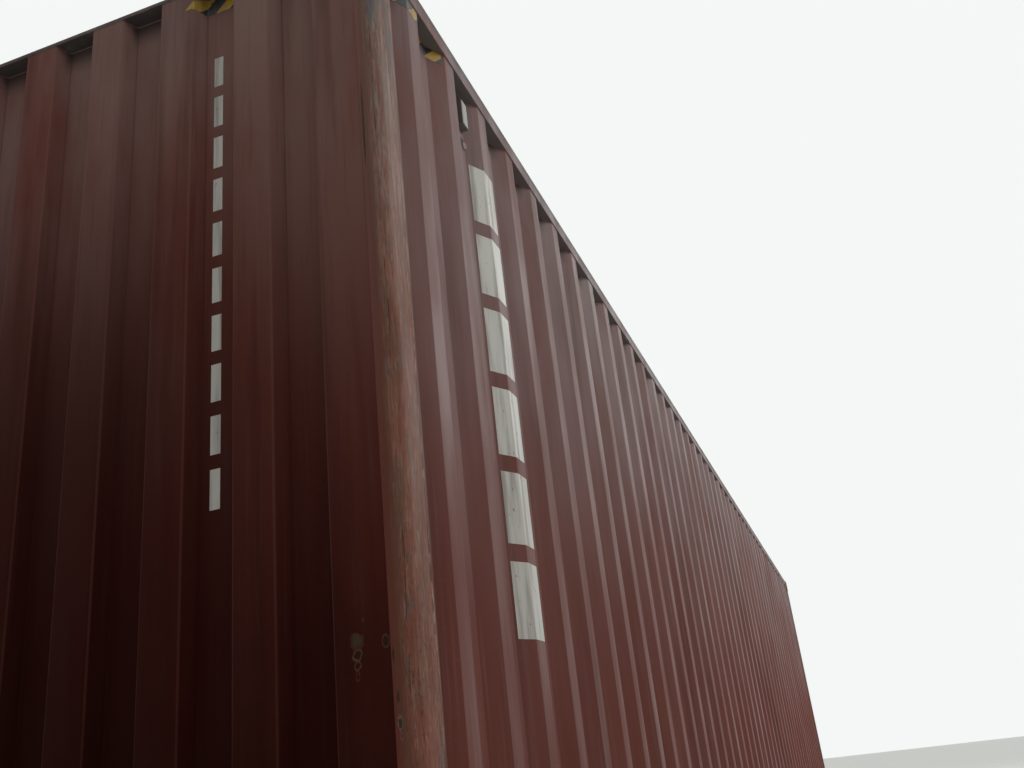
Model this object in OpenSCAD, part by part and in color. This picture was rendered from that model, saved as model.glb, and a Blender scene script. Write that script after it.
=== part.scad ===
// Forty foot high cube dry freight container, doors closed, resting on its corner castings.
// X runs along the container from the closed front end to the doors, Y across it, Z up from the ground.
// Left is the -Y side, right is the +Y side.

/* [Overall size] */
// outside length over the corner castings
length = 12192; // [9000:1:14000]
// outside width over the corner castings
width = 2438; // [2300:1:2600]
// outside height over the corner castings
height = 2896; // [2400:1:3000]

/* [Corner castings] */
// size of a casting along the container
casting_length = 178; // [170:1:190]
// size of a casting across the container
casting_width = 162; // [155:1:175]
// height of a casting
casting_height = 118; // [112:1:126]
// thickness of the face with the twistlock slot
casting_face_wall = 28.5; // [24:0.5:32]
// thickness of the walls with the side and end slots
casting_outer_wall = 16; // [12:0.5:20]
// thickness of the plain inner walls
casting_inner_wall = 10; // [8:0.5:12]
// radius of the upright outer edge
casting_edge_radius = 14; // [8:1:20]
// distance of a twistlock slot's middle from the casting's end
slot_from_end = 103.5; // [101:0.5:106]
// distance of a twistlock slot's middle from the casting's side
slot_from_side = 89.5; // [85:0.5:92]
// length of a twistlock slot
slot_length = 124.5; // [120:0.5:128]
// width of a twistlock slot
slot_width = 63.5; // [60:0.5:68]
// length of a slot in a casting's side
side_slot_length = 79.5; // [70:0.5:84]
// length of a slot in a casting's end
end_slot_length = 63.5; // [56:0.5:70]
// height of the side and end slots
lashing_slot_height = 51; // [44:1:56]
// height of the side and end slots' middle above the slotted face
lashing_slot_middle = 63.5; // [60:0.5:68]

/* [Corner posts] */
// how far posts and end rails stand back from the casting faces
frame_setback = 3; // [2:0.5:6]
// thickness of the pressed post steel
post_wall = 6; // [4:0.5:8]
// outside radius of the front post's corner
post_radius = 30; // [20:1:40]
// width of the front post's face on the side of the container
front_post_side = 108; // [95:1:120]
// width of the front post's face on the front of the container
front_post_front = 56; // [50:1:80]
// depth of the front post's return towards the inside
front_post_return = 96; // [60:1:96]
// width of the lip at the end of that return
front_post_lip = 40; // [20:1:44]
// depth of the rear post along the container
rear_post_depth = 98; // [80:1:100]
// width of the rear post across the container
rear_post_width = 46; // [40:1:46]
// thickness of the rear post's inner channel
rear_post_inner_wall = 12; // [8:1:14]
// how far the rear post stands back from the casting face, for the hinges
hinge_recess = 36; // [34:1:44]

/* [Rails] */
// clearance below the base frame
base_clearance = 12.5; // [8:0.5:16]
// height of the bottom side rail
bottom_rail_height = 158; // [150:1:170]
// width of the bottom side rail's top flange
bottom_rail_top_flange = 48; // [46:1:56]
// width of the bottom side rail's lower flange
bottom_rail_lower_flange = 30; // [24:1:40]
// thickness of the bottom side rail
bottom_rail_wall = 4.5; // [3:0.5:6]
// outside size of the square top rails
top_rail_size = 60; // [56:1:66]
// wall of the square top rails
top_rail_wall = 3; // [2.5:0.5:5]
// how far the top rails lie below the casting tops
top_clearance = 6; // [4:1:10]
// thickness of the cap over the front wall
front_cap_thickness = 12; // [6:1:16]
// depth of the front bottom rail along the container
front_rail_depth = 60; // [58:1:62]
// wall of the front bottom rail
front_rail_wall = 4; // [3:0.5:6]

/* [Corrugated walls] */
// thickness of the side and front sheet
wall_sheet = 2; // [1.6:0.1:3]
// depth of the side wall's corrugation
side_depth = 36; // [25:1:38]
// distance from one side ridge to the next
side_pitch = 278; // [270:1:290]
// width of a side ridge's outer face
side_ridge = 72; // [60:1:84]
// width of a slope between ridge and recess
side_slope = 68; // [50:1:75]
// width of the recess between the front post and the first slope
side_first_recess = 58.6; // [20:0.1:70]
// how far the side ridges stand back from the casting faces
side_setback = 7; // [4:1:8]
// depth of the front wall's corrugation
front_depth = 45.6; // [30:0.1:50]
// distance from one front recess to the next
front_pitch = 241.3; // [225:0.1:250]
// width of a front recess's floor
front_recess = 97.3; // [80:0.1:110]
// width of a slope in the front wall
front_slope = 18; // [12:1:30]
// least width of the flat border at each edge of the front wall
front_border = 100; // [80:1:125]
// how far the front ridges stand back from the casting faces
front_setback = 5; // [4:0.5:8]

/* [Roof] */
// thickness of the roof sheet
roof_sheet = 2; // [1.6:0.1:3]
// height of a roof corrugation
roof_depth = 20; // [12:1:20]
// distance from one roof corrugation to the next
roof_pitch = 209; // [195:1:213]
// width of a roof corrugation's top
roof_crest = 91; // [70:1:110]
// width of a roof corrugation's slope
roof_slope = 13.5; // [8:0.5:20]
// least distance between an end plate and the first roof corrugation
roof_end_gap = 30; // [10:1:60]
// width of the flat border beside the top rails
roof_border = 56; // [30:1:90]
// length of the hipped ends of the roof corrugations
roof_hip = 40; // [20:1:60]
// depth of the roof sheet below the tops of the rails
roof_drop = 24; // [23:1:30]
// how far the end plates reach from the casting faces
end_plate_reach = 378; // [300:1:390]
// thickness of the end plates
end_plate_thickness = 4; // [3:0.5:6]
// gap between the end plates on the roof sheet and those between the castings
end_plate_gap = 0.5; // [0.3:0.1:0.9]

/* [Floor] */
// height of the crossmembers
crossmember_height = 122; // [100:1:124]
// width of a crossmember's flanges
crossmember_flange = 45; // [35:1:60]
// thickness of a crossmember
crossmember_wall = 4; // [3:0.5:6]
// distance from one crossmember to the next
crossmember_pitch = 300; // [280:1:340]
// clearance of the crossmembers above the ground
crossmember_clearance = 17; // [14:1:24]
// thickness of the floor boards
floor_thickness = 28; // [24:1:30]
// number of boards along each side of the centre rail
floor_rows = 5; // [3:1:8]
// gap between two floor boards
floor_gap = 2; // [1:0.5:4]
// width of the centre rail
centre_rail_width = 50; // [40:1:70]
// wall of the centre rail
centre_rail_wall = 4; // [3:0.5:6]

/* [Gooseneck tunnel] */
// clear width of the tunnel
tunnel_width = 1029; // [1000:1:1060]
// length of the tunnel from the front
tunnel_length = 3150; // [3000:1:3300]
// thickness of the tunnel's top plate
tunnel_plate_thickness = 4; // [3:0.5:6]
// width of the tunnel's side rails
tunnel_rail_width = 45; // [35:1:60]
// wall of the tunnel's side rails
tunnel_rail_wall = 4; // [3:0.5:6]
// width of the bows between tunnel plate and floor
tunnel_bow_width = 60; // [40:1:90]
// distance from one bow to the next
tunnel_bow_pitch = 375; // [300:1:450]
// distance from one outrigger to the next
outrigger_pitch = 300; // [260:1:310]

/* [Door frame] */
// height of the header
header_height = 135; // [128:1:160]
// depth of header and sill along the container
header_depth = 100; // [90:1:104]
// how far header and sill stand back from the casting faces
header_setback = 66; // [64:1:70]
// wall of header and sill
header_wall = 4; // [3:0.5:6]
// height of the door opening's lower edge
sill_top = 165; // [160:1:166]
// how far the header lies below the casting tops
header_drop = 11; // [8:1:16]

/* [Doors] */
// gap around a door leaf, filled by its gasket
door_gap = 10; // [8:0.5:14]
// half of the gap between the two leaves
middle_gap = 6; // [4:0.5:8]
// thickness of a door leaf's frame
leaf_depth = 50; // [46:1:52]
// how far the leaf's outer face stands back from the header's face
leaf_setback = 5; // [3:0.5:8]
// width of the leaf's upright tubes
stile_width = 100; // [80:1:110]
// height of the leaf's top and bottom tubes
leaf_rail_height = 150; // [120:1:170]
// wall of the leaf's tubes
leaf_tube_wall = 3.2; // [2.5:0.1:4]
// thickness of the door sheet
door_sheet = 2; // [1.6:0.1:3]
// depth of the door sheet's folds
door_fold_depth = 36; // [25:1:38]
// slope height of a fold
door_fold_slope = 40; // [25:1:60]
// floor height of a fold
door_fold_floor = 120; // [80:1:150]
// number of folds in a leaf
door_folds = 5; // [3:1:5]
// how far the door sheet lies behind the leaf's frame
door_sheet_setback = 2; // [1:0.5:4]
// depth of a gasket along the container
gasket_depth = 40; // [30:1:44]

/* [Locking gear] */
// diameter of a locking bar
bar_diameter = 34; // [30:1:36]
// wall of a locking bar
bar_wall = 3.2; // [2.5:0.1:5]
// distance of the bars' axes from the casting face
bar_setback = 44; // [42:1:45]
// distance of the outer bar from the hinge edge of its leaf
outer_bar_from_edge = 280; // [220:1:320]
// distance of the inner bar from the closing edge of its leaf
inner_bar_from_edge = 210; // [180:1:260]
// gap between a bar and what holds it
bar_fit = 0.4; // [0.2:0.1:0.8]
// thickness of the rings around the bars
bracket_ring = 6; // [4:0.5:7]
// height of the rings
bracket_height = 40; // [30:1:60]
// width of a bracket's foot
bracket_foot_width = 90; // [70:1:110]
// thickness of a bracket's foot
bracket_foot_thickness = 6; // [4:0.5:6]
// radius of a cam's hub
cam_hub_radius = 21; // [20:0.5:21.5]
// reach of a cam from its bar
cam_reach = 80; // [60:1:95]
// height of a cam
cam_height = 40; // [30:1:44]
// thickness of a cam's lug
cam_thickness = 14; // [10:1:18]
// width of a keeper
keeper_width = 70; // [60:1:90]
// thickness of a keeper's base
keeper_base = 6; // [4:0.5:8]
// thickness of a keeper's arms
keeper_arm = 10; // [8:1:14]
// reach of a keeper's arms
keeper_reach = 42; // [36:1:46]
// gap between a cam and its keeper
cam_gap = 3; // [1:0.5:5]
// length of a handle from its bar
handle_length = 430; // [350:1:460]
// height of a handle's lever
handle_height = 32; // [26:1:40]
// thickness of a handle's lever
handle_thickness = 10; // [8:1:12]
// height between the two handles of a leaf
handle_offset = 90; // [80:1:110]

/* [Hinges] */
// number of hinges on each leaf
hinge_count = 4; // [3:1:5]
// diameter of a hinge pin
hinge_pin = 16; // [12:1:18]
// gap around a hinge pin
hinge_fit = 0.2; // [0.1:0.05:0.4]
// outside radius of a hinge eye
hinge_eye_radius = 14; // [13:0.5:14.5]
// height of a hinge blade
hinge_height = 80; // [60:1:110]
// thickness of a hinge blade
hinge_blade = 10; // [8:1:12]
// thickness of a hinge lug
hinge_lug = 12; // [8:1:18]
// gap between a hinge's blade and its lugs, and between its eye and the post
hinge_gap = 1; // [0.5:0.5:2]
// how far the hinge pins stand outside the middle of the rear post
hinge_offset = 2; // [0:0.5:4]
// length of a hinge blade's foot on the leaf
hinge_foot = 80; // [60:1:90]
// distance of the lowest and highest hinge from the leaf's ends
hinge_end_distance = 260; // [200:1:320]
// radius of a pin's head
hinge_head_radius = 12; // [11:0.5:13]
// height of a pin's head
hinge_head_height = 5; // [3:0.5:8]

/* [Ventilators] */
// height of a ventilator
vent_height = 90; // [60:1:120]
// depth of a ventilator
vent_depth = 28; // [20:1:30]
// distance of a ventilator from the top rail
vent_drop = 40; // [20:1:80]
// height of a ventilator's slots
vent_slot = 6; // [4:0.5:8]
// gap between a ventilator and the slopes beside it
vent_fit = 1; // [0.5:0.5:2]
// depth of a ventilator's slots
vent_slot_depth = 10; // [6:1:14]

/* [Hidden] */
cut = 1;
round_steps = 48;
half_length = length / 2;
half_width = width / 2;

// levels
post_bottom = casting_height;
post_top = height - casting_height;
rail_top = height - top_clearance;
wall_top = rail_top - top_rail_size;
wall_bottom = base_clearance + bottom_rail_height;
crossmember_top = crossmember_clearance + crossmember_height;
floor_top = crossmember_top + floor_thickness;
tunnel_height = casting_height;
header_top = height - header_drop;
header_bottom = header_top - header_height;
cap_bottom = rail_top - front_cap_thickness;
roof_level = rail_top - roof_drop;

// faces along the container
front_face = -half_length + frame_setback;
front_rail_inner = front_face + front_rail_depth;
front_wall_face = -half_length + front_setback;
front_tube_face = front_wall_face + front_depth + wall_sheet;
roof_start = front_tube_face + top_rail_size;
front_post_end = front_face + front_post_side;
rear_post_face = half_length - hinge_recess;
rear_post_start = rear_post_face - rear_post_depth;
header_face = half_length - header_setback;
header_start = header_face - header_depth;
casting_inner_x = half_length - casting_length;
leaf_face = header_face - leaf_setback;
leaf_start = leaf_face - leaf_depth;
door_sheet_face = leaf_face - door_sheet_setback;
bar_x = half_length - bar_setback;
tunnel_end = -half_length + tunnel_length;

// faces across the container
side_face = half_width - frame_setback;
rail_inner_y = side_face - bottom_rail_top_flange;
top_rail_inner_y = side_face - top_rail_size;
casting_inner_y = half_width - casting_width;
rear_post_inner_y = side_face - rear_post_width;
front_wall_edge = side_face - front_post_front;
tunnel_edge = tunnel_width / 2;
tunnel_rail_outer = tunnel_edge + tunnel_rail_width;

// as many whole ridges as fit between the posts of a side wall
side_start = front_post_end;
side_end = rear_post_start;
side_first = side_start + side_first_recess;
side_fold = side_ridge + 2 * side_slope;
side_ridges = floor((side_end - side_first - side_fold) / side_pitch) + 1;

// as many whole recesses as fit between the front wall's borders, centred
front_fold = front_recess + 2 * front_slope;
front_recesses = floor((2 * (front_wall_edge - front_border) - front_fold) / front_pitch) + 1;
front_span = (front_recesses - 1) * front_pitch + front_fold;

// as many whole roof corrugations as fit between the end plates
end_plate_x = half_length - end_plate_reach;
roof_fold = roof_crest + 2 * roof_slope;
roof_crests = floor((2 * (end_plate_x - roof_end_gap) - roof_fold) / roof_pitch) + 1;

// as many crossmembers, outriggers and bows as fit
crossmember_count = floor((casting_inner_x - tunnel_end - crossmember_flange) / crossmember_pitch);
outrigger_count = floor((tunnel_end + casting_inner_x) / outrigger_pitch);
tunnel_bow_count = floor((tunnel_end - front_rail_inner - tunnel_bow_width) / tunnel_bow_pitch) + 1;

// door leaves, measured from the middle
leaf_outer_y = rear_post_inner_y - door_gap;
leaf_inner_y = middle_gap;
leaf_bottom = sill_top + door_gap;
leaf_top = header_bottom - door_gap;
leaf_panel_bottom = leaf_bottom + leaf_rail_height;
leaf_panel_top = leaf_top - leaf_rail_height;
fold_pitch = (leaf_panel_top - leaf_panel_bottom) / door_folds;
fold_height = 2 * door_fold_slope + door_fold_floor;
fold_first = leaf_panel_bottom + (fold_pitch - fold_height) / 2;
handle_level = leaf_panel_bottom + 2 * fold_pitch;
outer_bar_y = leaf_outer_y - outer_bar_from_edge;
inner_bar_y = leaf_inner_y + inner_bar_from_edge;
bar_radius = bar_diameter / 2;
ring_radius = bar_radius + bar_fit + bracket_ring;

// cams sit in the middle of the boxes behind their keepers
lower_cam_level = (base_clearance + casting_height) / 2;
upper_cam_level = (post_top + header_top) / 2;
keeper_inside = cam_height + 2 * cam_gap;
bar_bottom = lower_cam_level - cam_height / 2;
bar_top = upper_cam_level + cam_height / 2;

// hinge axis
hinge_x = rear_post_face + hinge_eye_radius + hinge_gap;
hinge_y = side_face - rear_post_width / 2 + hinge_offset;
hinge_step = (leaf_top - leaf_bottom - 2 * hinge_end_distance) / (hinge_count - 1);

// profiles

// one fold after another along u, from one depth to another and back, as the outer side of a sheet
function fold_path(start, pitch, slope, flat, near, far, count) = [
    for (i = [0 : count - 1]) each [
        [start + i * pitch, near],
        [start + i * pitch + slope, far],
        [start + i * pitch + slope + flat, far],
        [start + i * pitch + 2 * slope + flat, near]
    ]
];

// the other side of the same sheet, so that its thickness is the same on flats and slopes
function fold_inside(path, thickness, bend) = [
    for (i = [0 : len(path) - 1])
        [path[i][0] + (i % 4 < 2 ? bend : -bend), path[i][1] + thickness]
];

function bend_shift(thickness, slope, depth) = thickness * tan(atan(depth / slope) / 2);

function reversed(list) = [for (i = [len(list) - 1 : -1 : 0]) list[i]];

function sheet_outline(first, last, level, path, thickness, bend) = concat(
    [[first, level]], path, [[last, level], [last, level + thickness]],
    reversed(fold_inside(path, thickness, bend)), [[first, level + thickness]]
);

function swapped(list) = [for (point = list) [point[1], point[0]]];

module channel_profile(high, top_flange, lower_flange, wall) {
    polygon([
        [0, 0], [lower_flange, 0], [lower_flange, wall], [wall, wall],
        [wall, high - wall], [top_flange, high - wall], [top_flange, high], [0, high]
    ]);
}

// a profile drawn in X and Z, drawn out along Y over the given width and centred
module along_y(wide) {
    translate([0, wide / 2, 0])
        rotate([90, 0, 0])
            linear_extrude(wide)
                children();
}

// a profile drawn in Y and Z, drawn out along X from one face to another
module along_x(from, to) {
    translate([from, 0, 0])
        rotate([90, 0, 90])
            linear_extrude(to - from)
                children();
}

module box(low, high) {
    translate(low)
        cube(high - low);
}

// a rectangular tube open along one axis: 0 is X, 1 is Y, 2 is Z
module tube(low, high, wall, axis) {
    reach = [for (i = [0 : 2]) i == axis ? -cut : wall];
    difference() {
        box(low, high);
        box(low + reach, high - reach);
    }
}

module on_right() {
    mirror([0, 1, 0])
        children();
}

module both_sides() {
    children();
    on_right()
        children();
}

// the blocks that the castings fill at the top corners
module top_casting_space() {
    for (end = [-1, 1])
        for (side = [-1, 1])
            translate([end * (half_length - casting_length / 2), side * (half_width - casting_width / 2), 0])
                translate([-casting_length / 2, -casting_width / 2, post_top])
                    cube([casting_length, casting_width, casting_height + cut]);
}

module bottom_casting_space() {
    for (end = [-1, 1])
        for (side = [-1, 1])
            translate([end * (half_length - casting_length / 2), side * (half_width - casting_width / 2), 0])
                translate([-casting_length / 2, -casting_width / 2, -cut])
                    cube([casting_length, casting_width, casting_height + cut]);
}

// corner castings

// a slot with round ends, lying along X in the plane of X and Y
module slot_cutter(long, wide, deep) {
    straight = long - wide;
    translate([-straight / 2, -wide / 2, 0])
        cube([straight, wide, deep]);
    for (end = [-1, 1])
        translate([end * straight / 2, 0, 0])
            cylinder(d = wide, h = deep, $fn = round_steps);
}

// a casting for the front left bottom corner, with its outer corner in the origin
module corner_casting() {
    difference() {
        cube([casting_length, casting_width, casting_height]);
        translate([0, 0, -cut])
            difference() {
                translate([-cut, -cut, 0])
                    cube([casting_edge_radius + cut, casting_edge_radius + cut, casting_height + 2 * cut]);
                translate([casting_edge_radius, casting_edge_radius, -cut])
                    cylinder(r = casting_edge_radius, h = casting_height + 4 * cut, $fn = round_steps);
            }
        box(
            [casting_outer_wall, casting_outer_wall, casting_face_wall],
            [
                casting_length - casting_inner_wall, casting_width - casting_inner_wall,
                casting_height - casting_inner_wall
            ]
        );
        translate([slot_from_end, slot_from_side, -cut])
            slot_cutter(slot_length, slot_width, casting_face_wall + 2 * cut);
        translate([slot_from_end, casting_outer_wall + cut, lashing_slot_middle])
            rotate([90, 0, 0])
                slot_cutter(side_slot_length, lashing_slot_height, casting_outer_wall + 2 * cut);
        translate([-cut, slot_from_side, lashing_slot_middle])
            rotate([90, 0, 90])
                slot_cutter(end_slot_length, lashing_slot_height, casting_outer_wall + 2 * cut);
    }
}

// end and side are -1 or 1, level is 0 at the bottom and 1 at the top
module placed_casting(end, side, level) {
    color("#5b2b25")
        translate([end * half_length, side * half_width, level * height])
            mirror([end > 0 ? 1 : 0, 0, 0])
                mirror([0, side > 0 ? 1 : 0, 0])
                    mirror([0, 0, level])
                        corner_casting();
}

module casting_front_left_bottom() {
    placed_casting(-1, -1, 0);
}

module casting_front_right_bottom() {
    placed_casting(-1, 1, 0);
}

module casting_front_left_top() {
    placed_casting(-1, -1, 1);
}

module casting_front_right_top() {
    placed_casting(-1, 1, 1);
}

module casting_rear_left_bottom() {
    placed_casting(1, -1, 0);
}

module casting_rear_right_bottom() {
    placed_casting(1, 1, 0);
}

module casting_rear_left_top() {
    placed_casting(1, -1, 1);
}

module casting_rear_right_top() {
    placed_casting(1, 1, 1);
}

// corner posts

// a pressed front post with its rounded corner, drawn at the left side
module front_post_left() {
    tall = post_top - post_bottom;
    color("#6a332c")
        translate([front_face, -side_face, post_bottom]) {
            translate([0, post_radius, 0])
                cube([post_wall, front_post_front - post_radius, tall]);
            intersection() {
                cube([post_radius, post_radius, tall]);
                translate([post_radius, post_radius, 0])
                    difference() {
                        cylinder(r = post_radius, h = tall, $fn = round_steps);
                        translate([0, 0, -cut])
                            cylinder(r = post_radius - post_wall, h = tall + 2 * cut, $fn = round_steps);
                    }
            }
            translate([post_radius, 0, 0])
                cube([front_post_side - post_radius, post_wall, tall]);
            translate([front_post_side - post_wall, 0, 0])
                cube([post_wall, front_post_return, tall]);
            translate([front_post_side - front_post_lip, front_post_return - post_wall, 0])
                cube([front_post_lip, post_wall, tall]);
        }
}

module front_post_right() {
    on_right()
        front_post_left();
}

module rear_post_left() {
    color("#6a332c")
        difference() {
            box([rear_post_start, -side_face, post_bottom], [rear_post_face, -rear_post_inner_y, post_top]);
            box(
                [rear_post_start + post_wall, -side_face + post_wall, post_bottom - cut],
                [rear_post_face - post_wall, -rear_post_inner_y - rear_post_inner_wall, post_top + cut]
            );
        }
}

module rear_post_right() {
    on_right()
        rear_post_left();
}

// rails

// a square tube behind the front sheet, and the cap that closes the sheet's folds above
module front_top_rail() {
    color("#6a332c") {
        tube(
            [front_tube_face, -casting_inner_y, cap_bottom - top_rail_size],
            [roof_start, casting_inner_y, cap_bottom],
            top_rail_wall, 1
        );
        box([front_face, -casting_inner_y, cap_bottom], [roof_start, casting_inner_y, rail_top]);
    }
}

// the rail over the tunnel and its two legs beside the tunnel
module front_bottom_rail() {
    color("#6a332c") {
        tube(
            [front_face, -front_wall_edge, tunnel_height],
            [front_rail_inner, front_wall_edge, wall_bottom],
            front_rail_wall, 1
        );
        both_sides()
            tube(
                [front_face, -casting_inner_y, base_clearance],
                [front_rail_inner, -tunnel_edge, tunnel_height],
                front_rail_wall, 1
            );
    }
}

module door_header() {
    color("#6a332c") {
        tube(
            [header_start, -casting_inner_y, post_top],
            [header_face, casting_inner_y, header_top],
            header_wall, 1
        );
        tube(
            [header_start, -rail_inner_y, header_bottom],
            [header_face, rail_inner_y, post_top],
            header_wall, 1
        );
    }
}

module door_sill() {
    color("#6a332c") {
        tube(
            [header_start, -casting_inner_y, base_clearance],
            [header_face, casting_inner_y, post_bottom],
            header_wall, 1
        );
        tube(
            [header_start, -rail_inner_y, post_bottom],
            [header_face, rail_inner_y, sill_top],
            header_wall, 1
        );
    }
}

module top_rail_left() {
    color("#6a332c")
        tube(
            [-casting_inner_x, -side_face, wall_top],
            [casting_inner_x, -top_rail_inner_y, rail_top],
            top_rail_wall, 0
        );
}

module top_rail_right() {
    on_right()
        top_rail_left();
}

// an open channel whose flanges point outwards, running over the castings to the posts
module bottom_rail_left() {
    color("#6a332c")
        difference() {
            translate([0, -rail_inner_y, base_clearance])
                along_x(side_start, side_end)
                    mirror([1, 0])
                        channel_profile(
                            bottom_rail_height, bottom_rail_top_flange,
                            bottom_rail_lower_flange, bottom_rail_wall
                        );
            bottom_casting_space();
        }
}

module bottom_rail_right() {
    on_right()
        bottom_rail_left();
}

// walls and roof

module front_wall() {
    path = fold_path(
        -front_span / 2, front_pitch, front_slope, front_recess, 0, front_depth, front_recesses
    );
    outline = sheet_outline(
        -front_wall_edge, front_wall_edge, 0, path, wall_sheet,
        -bend_shift(wall_sheet, front_slope, front_depth)
    );
    color("#63302a")
        difference() {
            translate([front_wall_face, 0, wall_bottom])
                linear_extrude(cap_bottom - wall_bottom)
                    polygon(swapped(outline));
            top_casting_space();
        }
}

module side_wall_left() {
    path = fold_path(side_first, side_pitch, side_slope, side_ridge, side_depth, 0, side_ridges);
    outline = sheet_outline(
        side_start, side_end, side_depth, path, wall_sheet,
        bend_shift(wall_sheet, side_slope, side_depth)
    );
    color("#713730")
        difference() {
            translate([0, -half_width + side_setback, wall_bottom])
                linear_extrude(wall_top - wall_bottom)
                    polygon(outline);
            top_casting_space();
        }
}

module side_wall_right() {
    on_right()
        side_wall_left();
}

// everything under the roof sheet's upper or lower side: long folds met by hipped ends
module roof_body(rise, low, bend) {
    crest_span = (roof_crests - 1) * roof_pitch + roof_fold;
    path = fold_path(-crest_span / 2, roof_pitch, roof_slope, roof_crest, 0, roof_depth, roof_crests);
    shifted = [for (i = [0 : len(path) - 1]) [path[i][0] + (i % 4 < 2 ? bend : -bend), path[i][1] + rise]];
    across = 2 * top_rail_inner_y;
    hip_start = top_rail_inner_y - roof_border;
    hip_bend = rise == 0 ? bend_shift(roof_sheet, roof_hip, roof_depth) : 0;
    intersection() {
        translate([0, 0, roof_level])
            along_y(across)
                polygon(concat(
                    [[-casting_inner_x, low], [-casting_inner_x, rise]], shifted,
                    [[casting_inner_x, rise], [casting_inner_x, low]]
                ));
        translate([0, 0, roof_level])
            along_x(-casting_inner_x, casting_inner_x)
                polygon([
                    [-top_rail_inner_y, low], [-top_rail_inner_y, rise],
                    [-hip_start + hip_bend, rise], [-hip_start + roof_hip + hip_bend, rise + roof_depth],
                    [hip_start - roof_hip - hip_bend, rise + roof_depth], [hip_start - hip_bend, rise],
                    [top_rail_inner_y, rise], [top_rail_inner_y, low]
                ]);
    }
}

// crosswise folds with hipped ends, pressed out of one sheet with a flat border
module roof_panel() {
    color("#68342e")
        difference() {
            roof_body(roof_sheet, -cut, 0);
            roof_body(0, -2 * cut, bend_shift(roof_sheet, roof_slope, roof_depth));
        }
}

// plates that take the knocks of a spreader beside the top castings: one between
// the castings at each end, and one on the roof sheet behind it
module roof_end_plates() {
    level = roof_level + roof_sheet;
    color("#68342e") {
        box(
            [roof_start, -casting_inner_y, roof_level],
            [-casting_inner_x - end_plate_gap, casting_inner_y, roof_level + end_plate_thickness]
        );
        box(
            [casting_inner_x + end_plate_gap, -casting_inner_y, roof_level],
            [header_start, casting_inner_y, roof_level + end_plate_thickness]
        );
        box(
            [-casting_inner_x, -top_rail_inner_y, level],
            [-end_plate_x, top_rail_inner_y, level + end_plate_thickness]
        );
        box(
            [end_plate_x, -top_rail_inner_y, level],
            [casting_inner_x, top_rail_inner_y, level + end_plate_thickness]
        );
    }
}

// floor frame

module crossmember(wide) {
    translate([0, 0, crossmember_clearance])
        along_y(wide)
            channel_profile(crossmember_height, crossmember_flange, crossmember_flange, crossmember_wall);
}

module crossmembers() {
    color("#4f2822")
        for (i = [1 : crossmember_count])
            translate([tunnel_end + i * crossmember_pitch, 0, 0])
                crossmember(2 * rail_inner_y);
}

// short channels from the tunnel's side rails to the bottom side rails
module tunnel_outriggers() {
    outrigger = rail_inner_y - tunnel_rail_outer;
    middle = (rail_inner_y + tunnel_rail_outer) / 2;
    color("#4f2822")
        both_sides()
            for (i = [1 : outrigger_count])
                translate([tunnel_end - i * outrigger_pitch, -middle, 0])
                    crossmember(outrigger);
}

// the tunnel's top plate and the bows that carry the floor over it
module tunnel_plate() {
    color("#4f2822") {
        box(
            [front_rail_inner, -tunnel_edge, tunnel_height],
            [tunnel_end, tunnel_edge, tunnel_height + tunnel_plate_thickness]
        );
        for (i = [0 : tunnel_bow_count - 1])
            translate([
                front_rail_inner + i * tunnel_bow_pitch, -tunnel_edge,
                tunnel_height + tunnel_plate_thickness
            ])
                cube([
                    tunnel_bow_width, tunnel_width,
                    crossmember_top - tunnel_height - tunnel_plate_thickness
                ]);
    }
}

// the tunnel's side rails and the bolster across its inner end
module tunnel_rails() {
    color("#4f2822") {
        both_sides()
            tube(
                [front_rail_inner, -tunnel_rail_outer, crossmember_clearance],
                [tunnel_end, -tunnel_edge, crossmember_top],
                tunnel_rail_wall, 0
            );
        translate([tunnel_end, 0, 0])
            crossmember(2 * rail_inner_y);
    }
}

module floor_boards() {
    inner_y = centre_rail_width / 2 + floor_gap;
    board = (header_start - front_rail_inner - (floor_rows - 1) * floor_gap) / floor_rows;
    post_space_y = side_face - front_post_return;
    color("#7d5a3a")
        difference() {
            both_sides()
                for (i = [0 : floor_rows - 1])
                    translate([front_rail_inner + i * (board + floor_gap), -rail_inner_y, crossmember_top])
                        cube([board, rail_inner_y - inner_y, floor_thickness]);
            for (side = [-1, 1])
                translate([-half_length, side * (post_space_y + half_width) / 2, crossmember_top - cut])
                    translate([0, -(half_width - post_space_y) / 2, 0])
                        cube([
                            front_post_end + half_length, half_width - post_space_y,
                            floor_thickness + 2 * cut
                        ]);
        }
}

module floor_centre_rail() {
    color("#4f2822")
        along_x(front_rail_inner, header_start)
            translate([-centre_rail_width / 2, crossmember_top])
                difference() {
                    square([centre_rail_width, floor_thickness]);
                    translate([centre_rail_wall, -cut])
                        square([centre_rail_width - 2 * centre_rail_wall, floor_thickness - centre_rail_wall + cut]);
                }
}

// doors

module door_frame_left() {
    color("#713730") {
        tube(
            [leaf_start, -leaf_outer_y, leaf_bottom],
            [leaf_face, -leaf_outer_y + stile_width, leaf_top],
            leaf_tube_wall, 2
        );
        tube(
            [leaf_start, -leaf_inner_y - stile_width, leaf_bottom],
            [leaf_face, -leaf_inner_y, leaf_top],
            leaf_tube_wall, 2
        );
        tube(
            [leaf_start, -leaf_outer_y + stile_width, leaf_bottom],
            [leaf_face, -leaf_inner_y - stile_width, leaf_panel_bottom],
            leaf_tube_wall, 1
        );
        tube(
            [leaf_start, -leaf_outer_y + stile_width, leaf_panel_top],
            [leaf_face, -leaf_inner_y - stile_width, leaf_top],
            leaf_tube_wall, 1
        );
    }
}

module door_frame_right() {
    on_right()
        door_frame_left();
}

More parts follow.
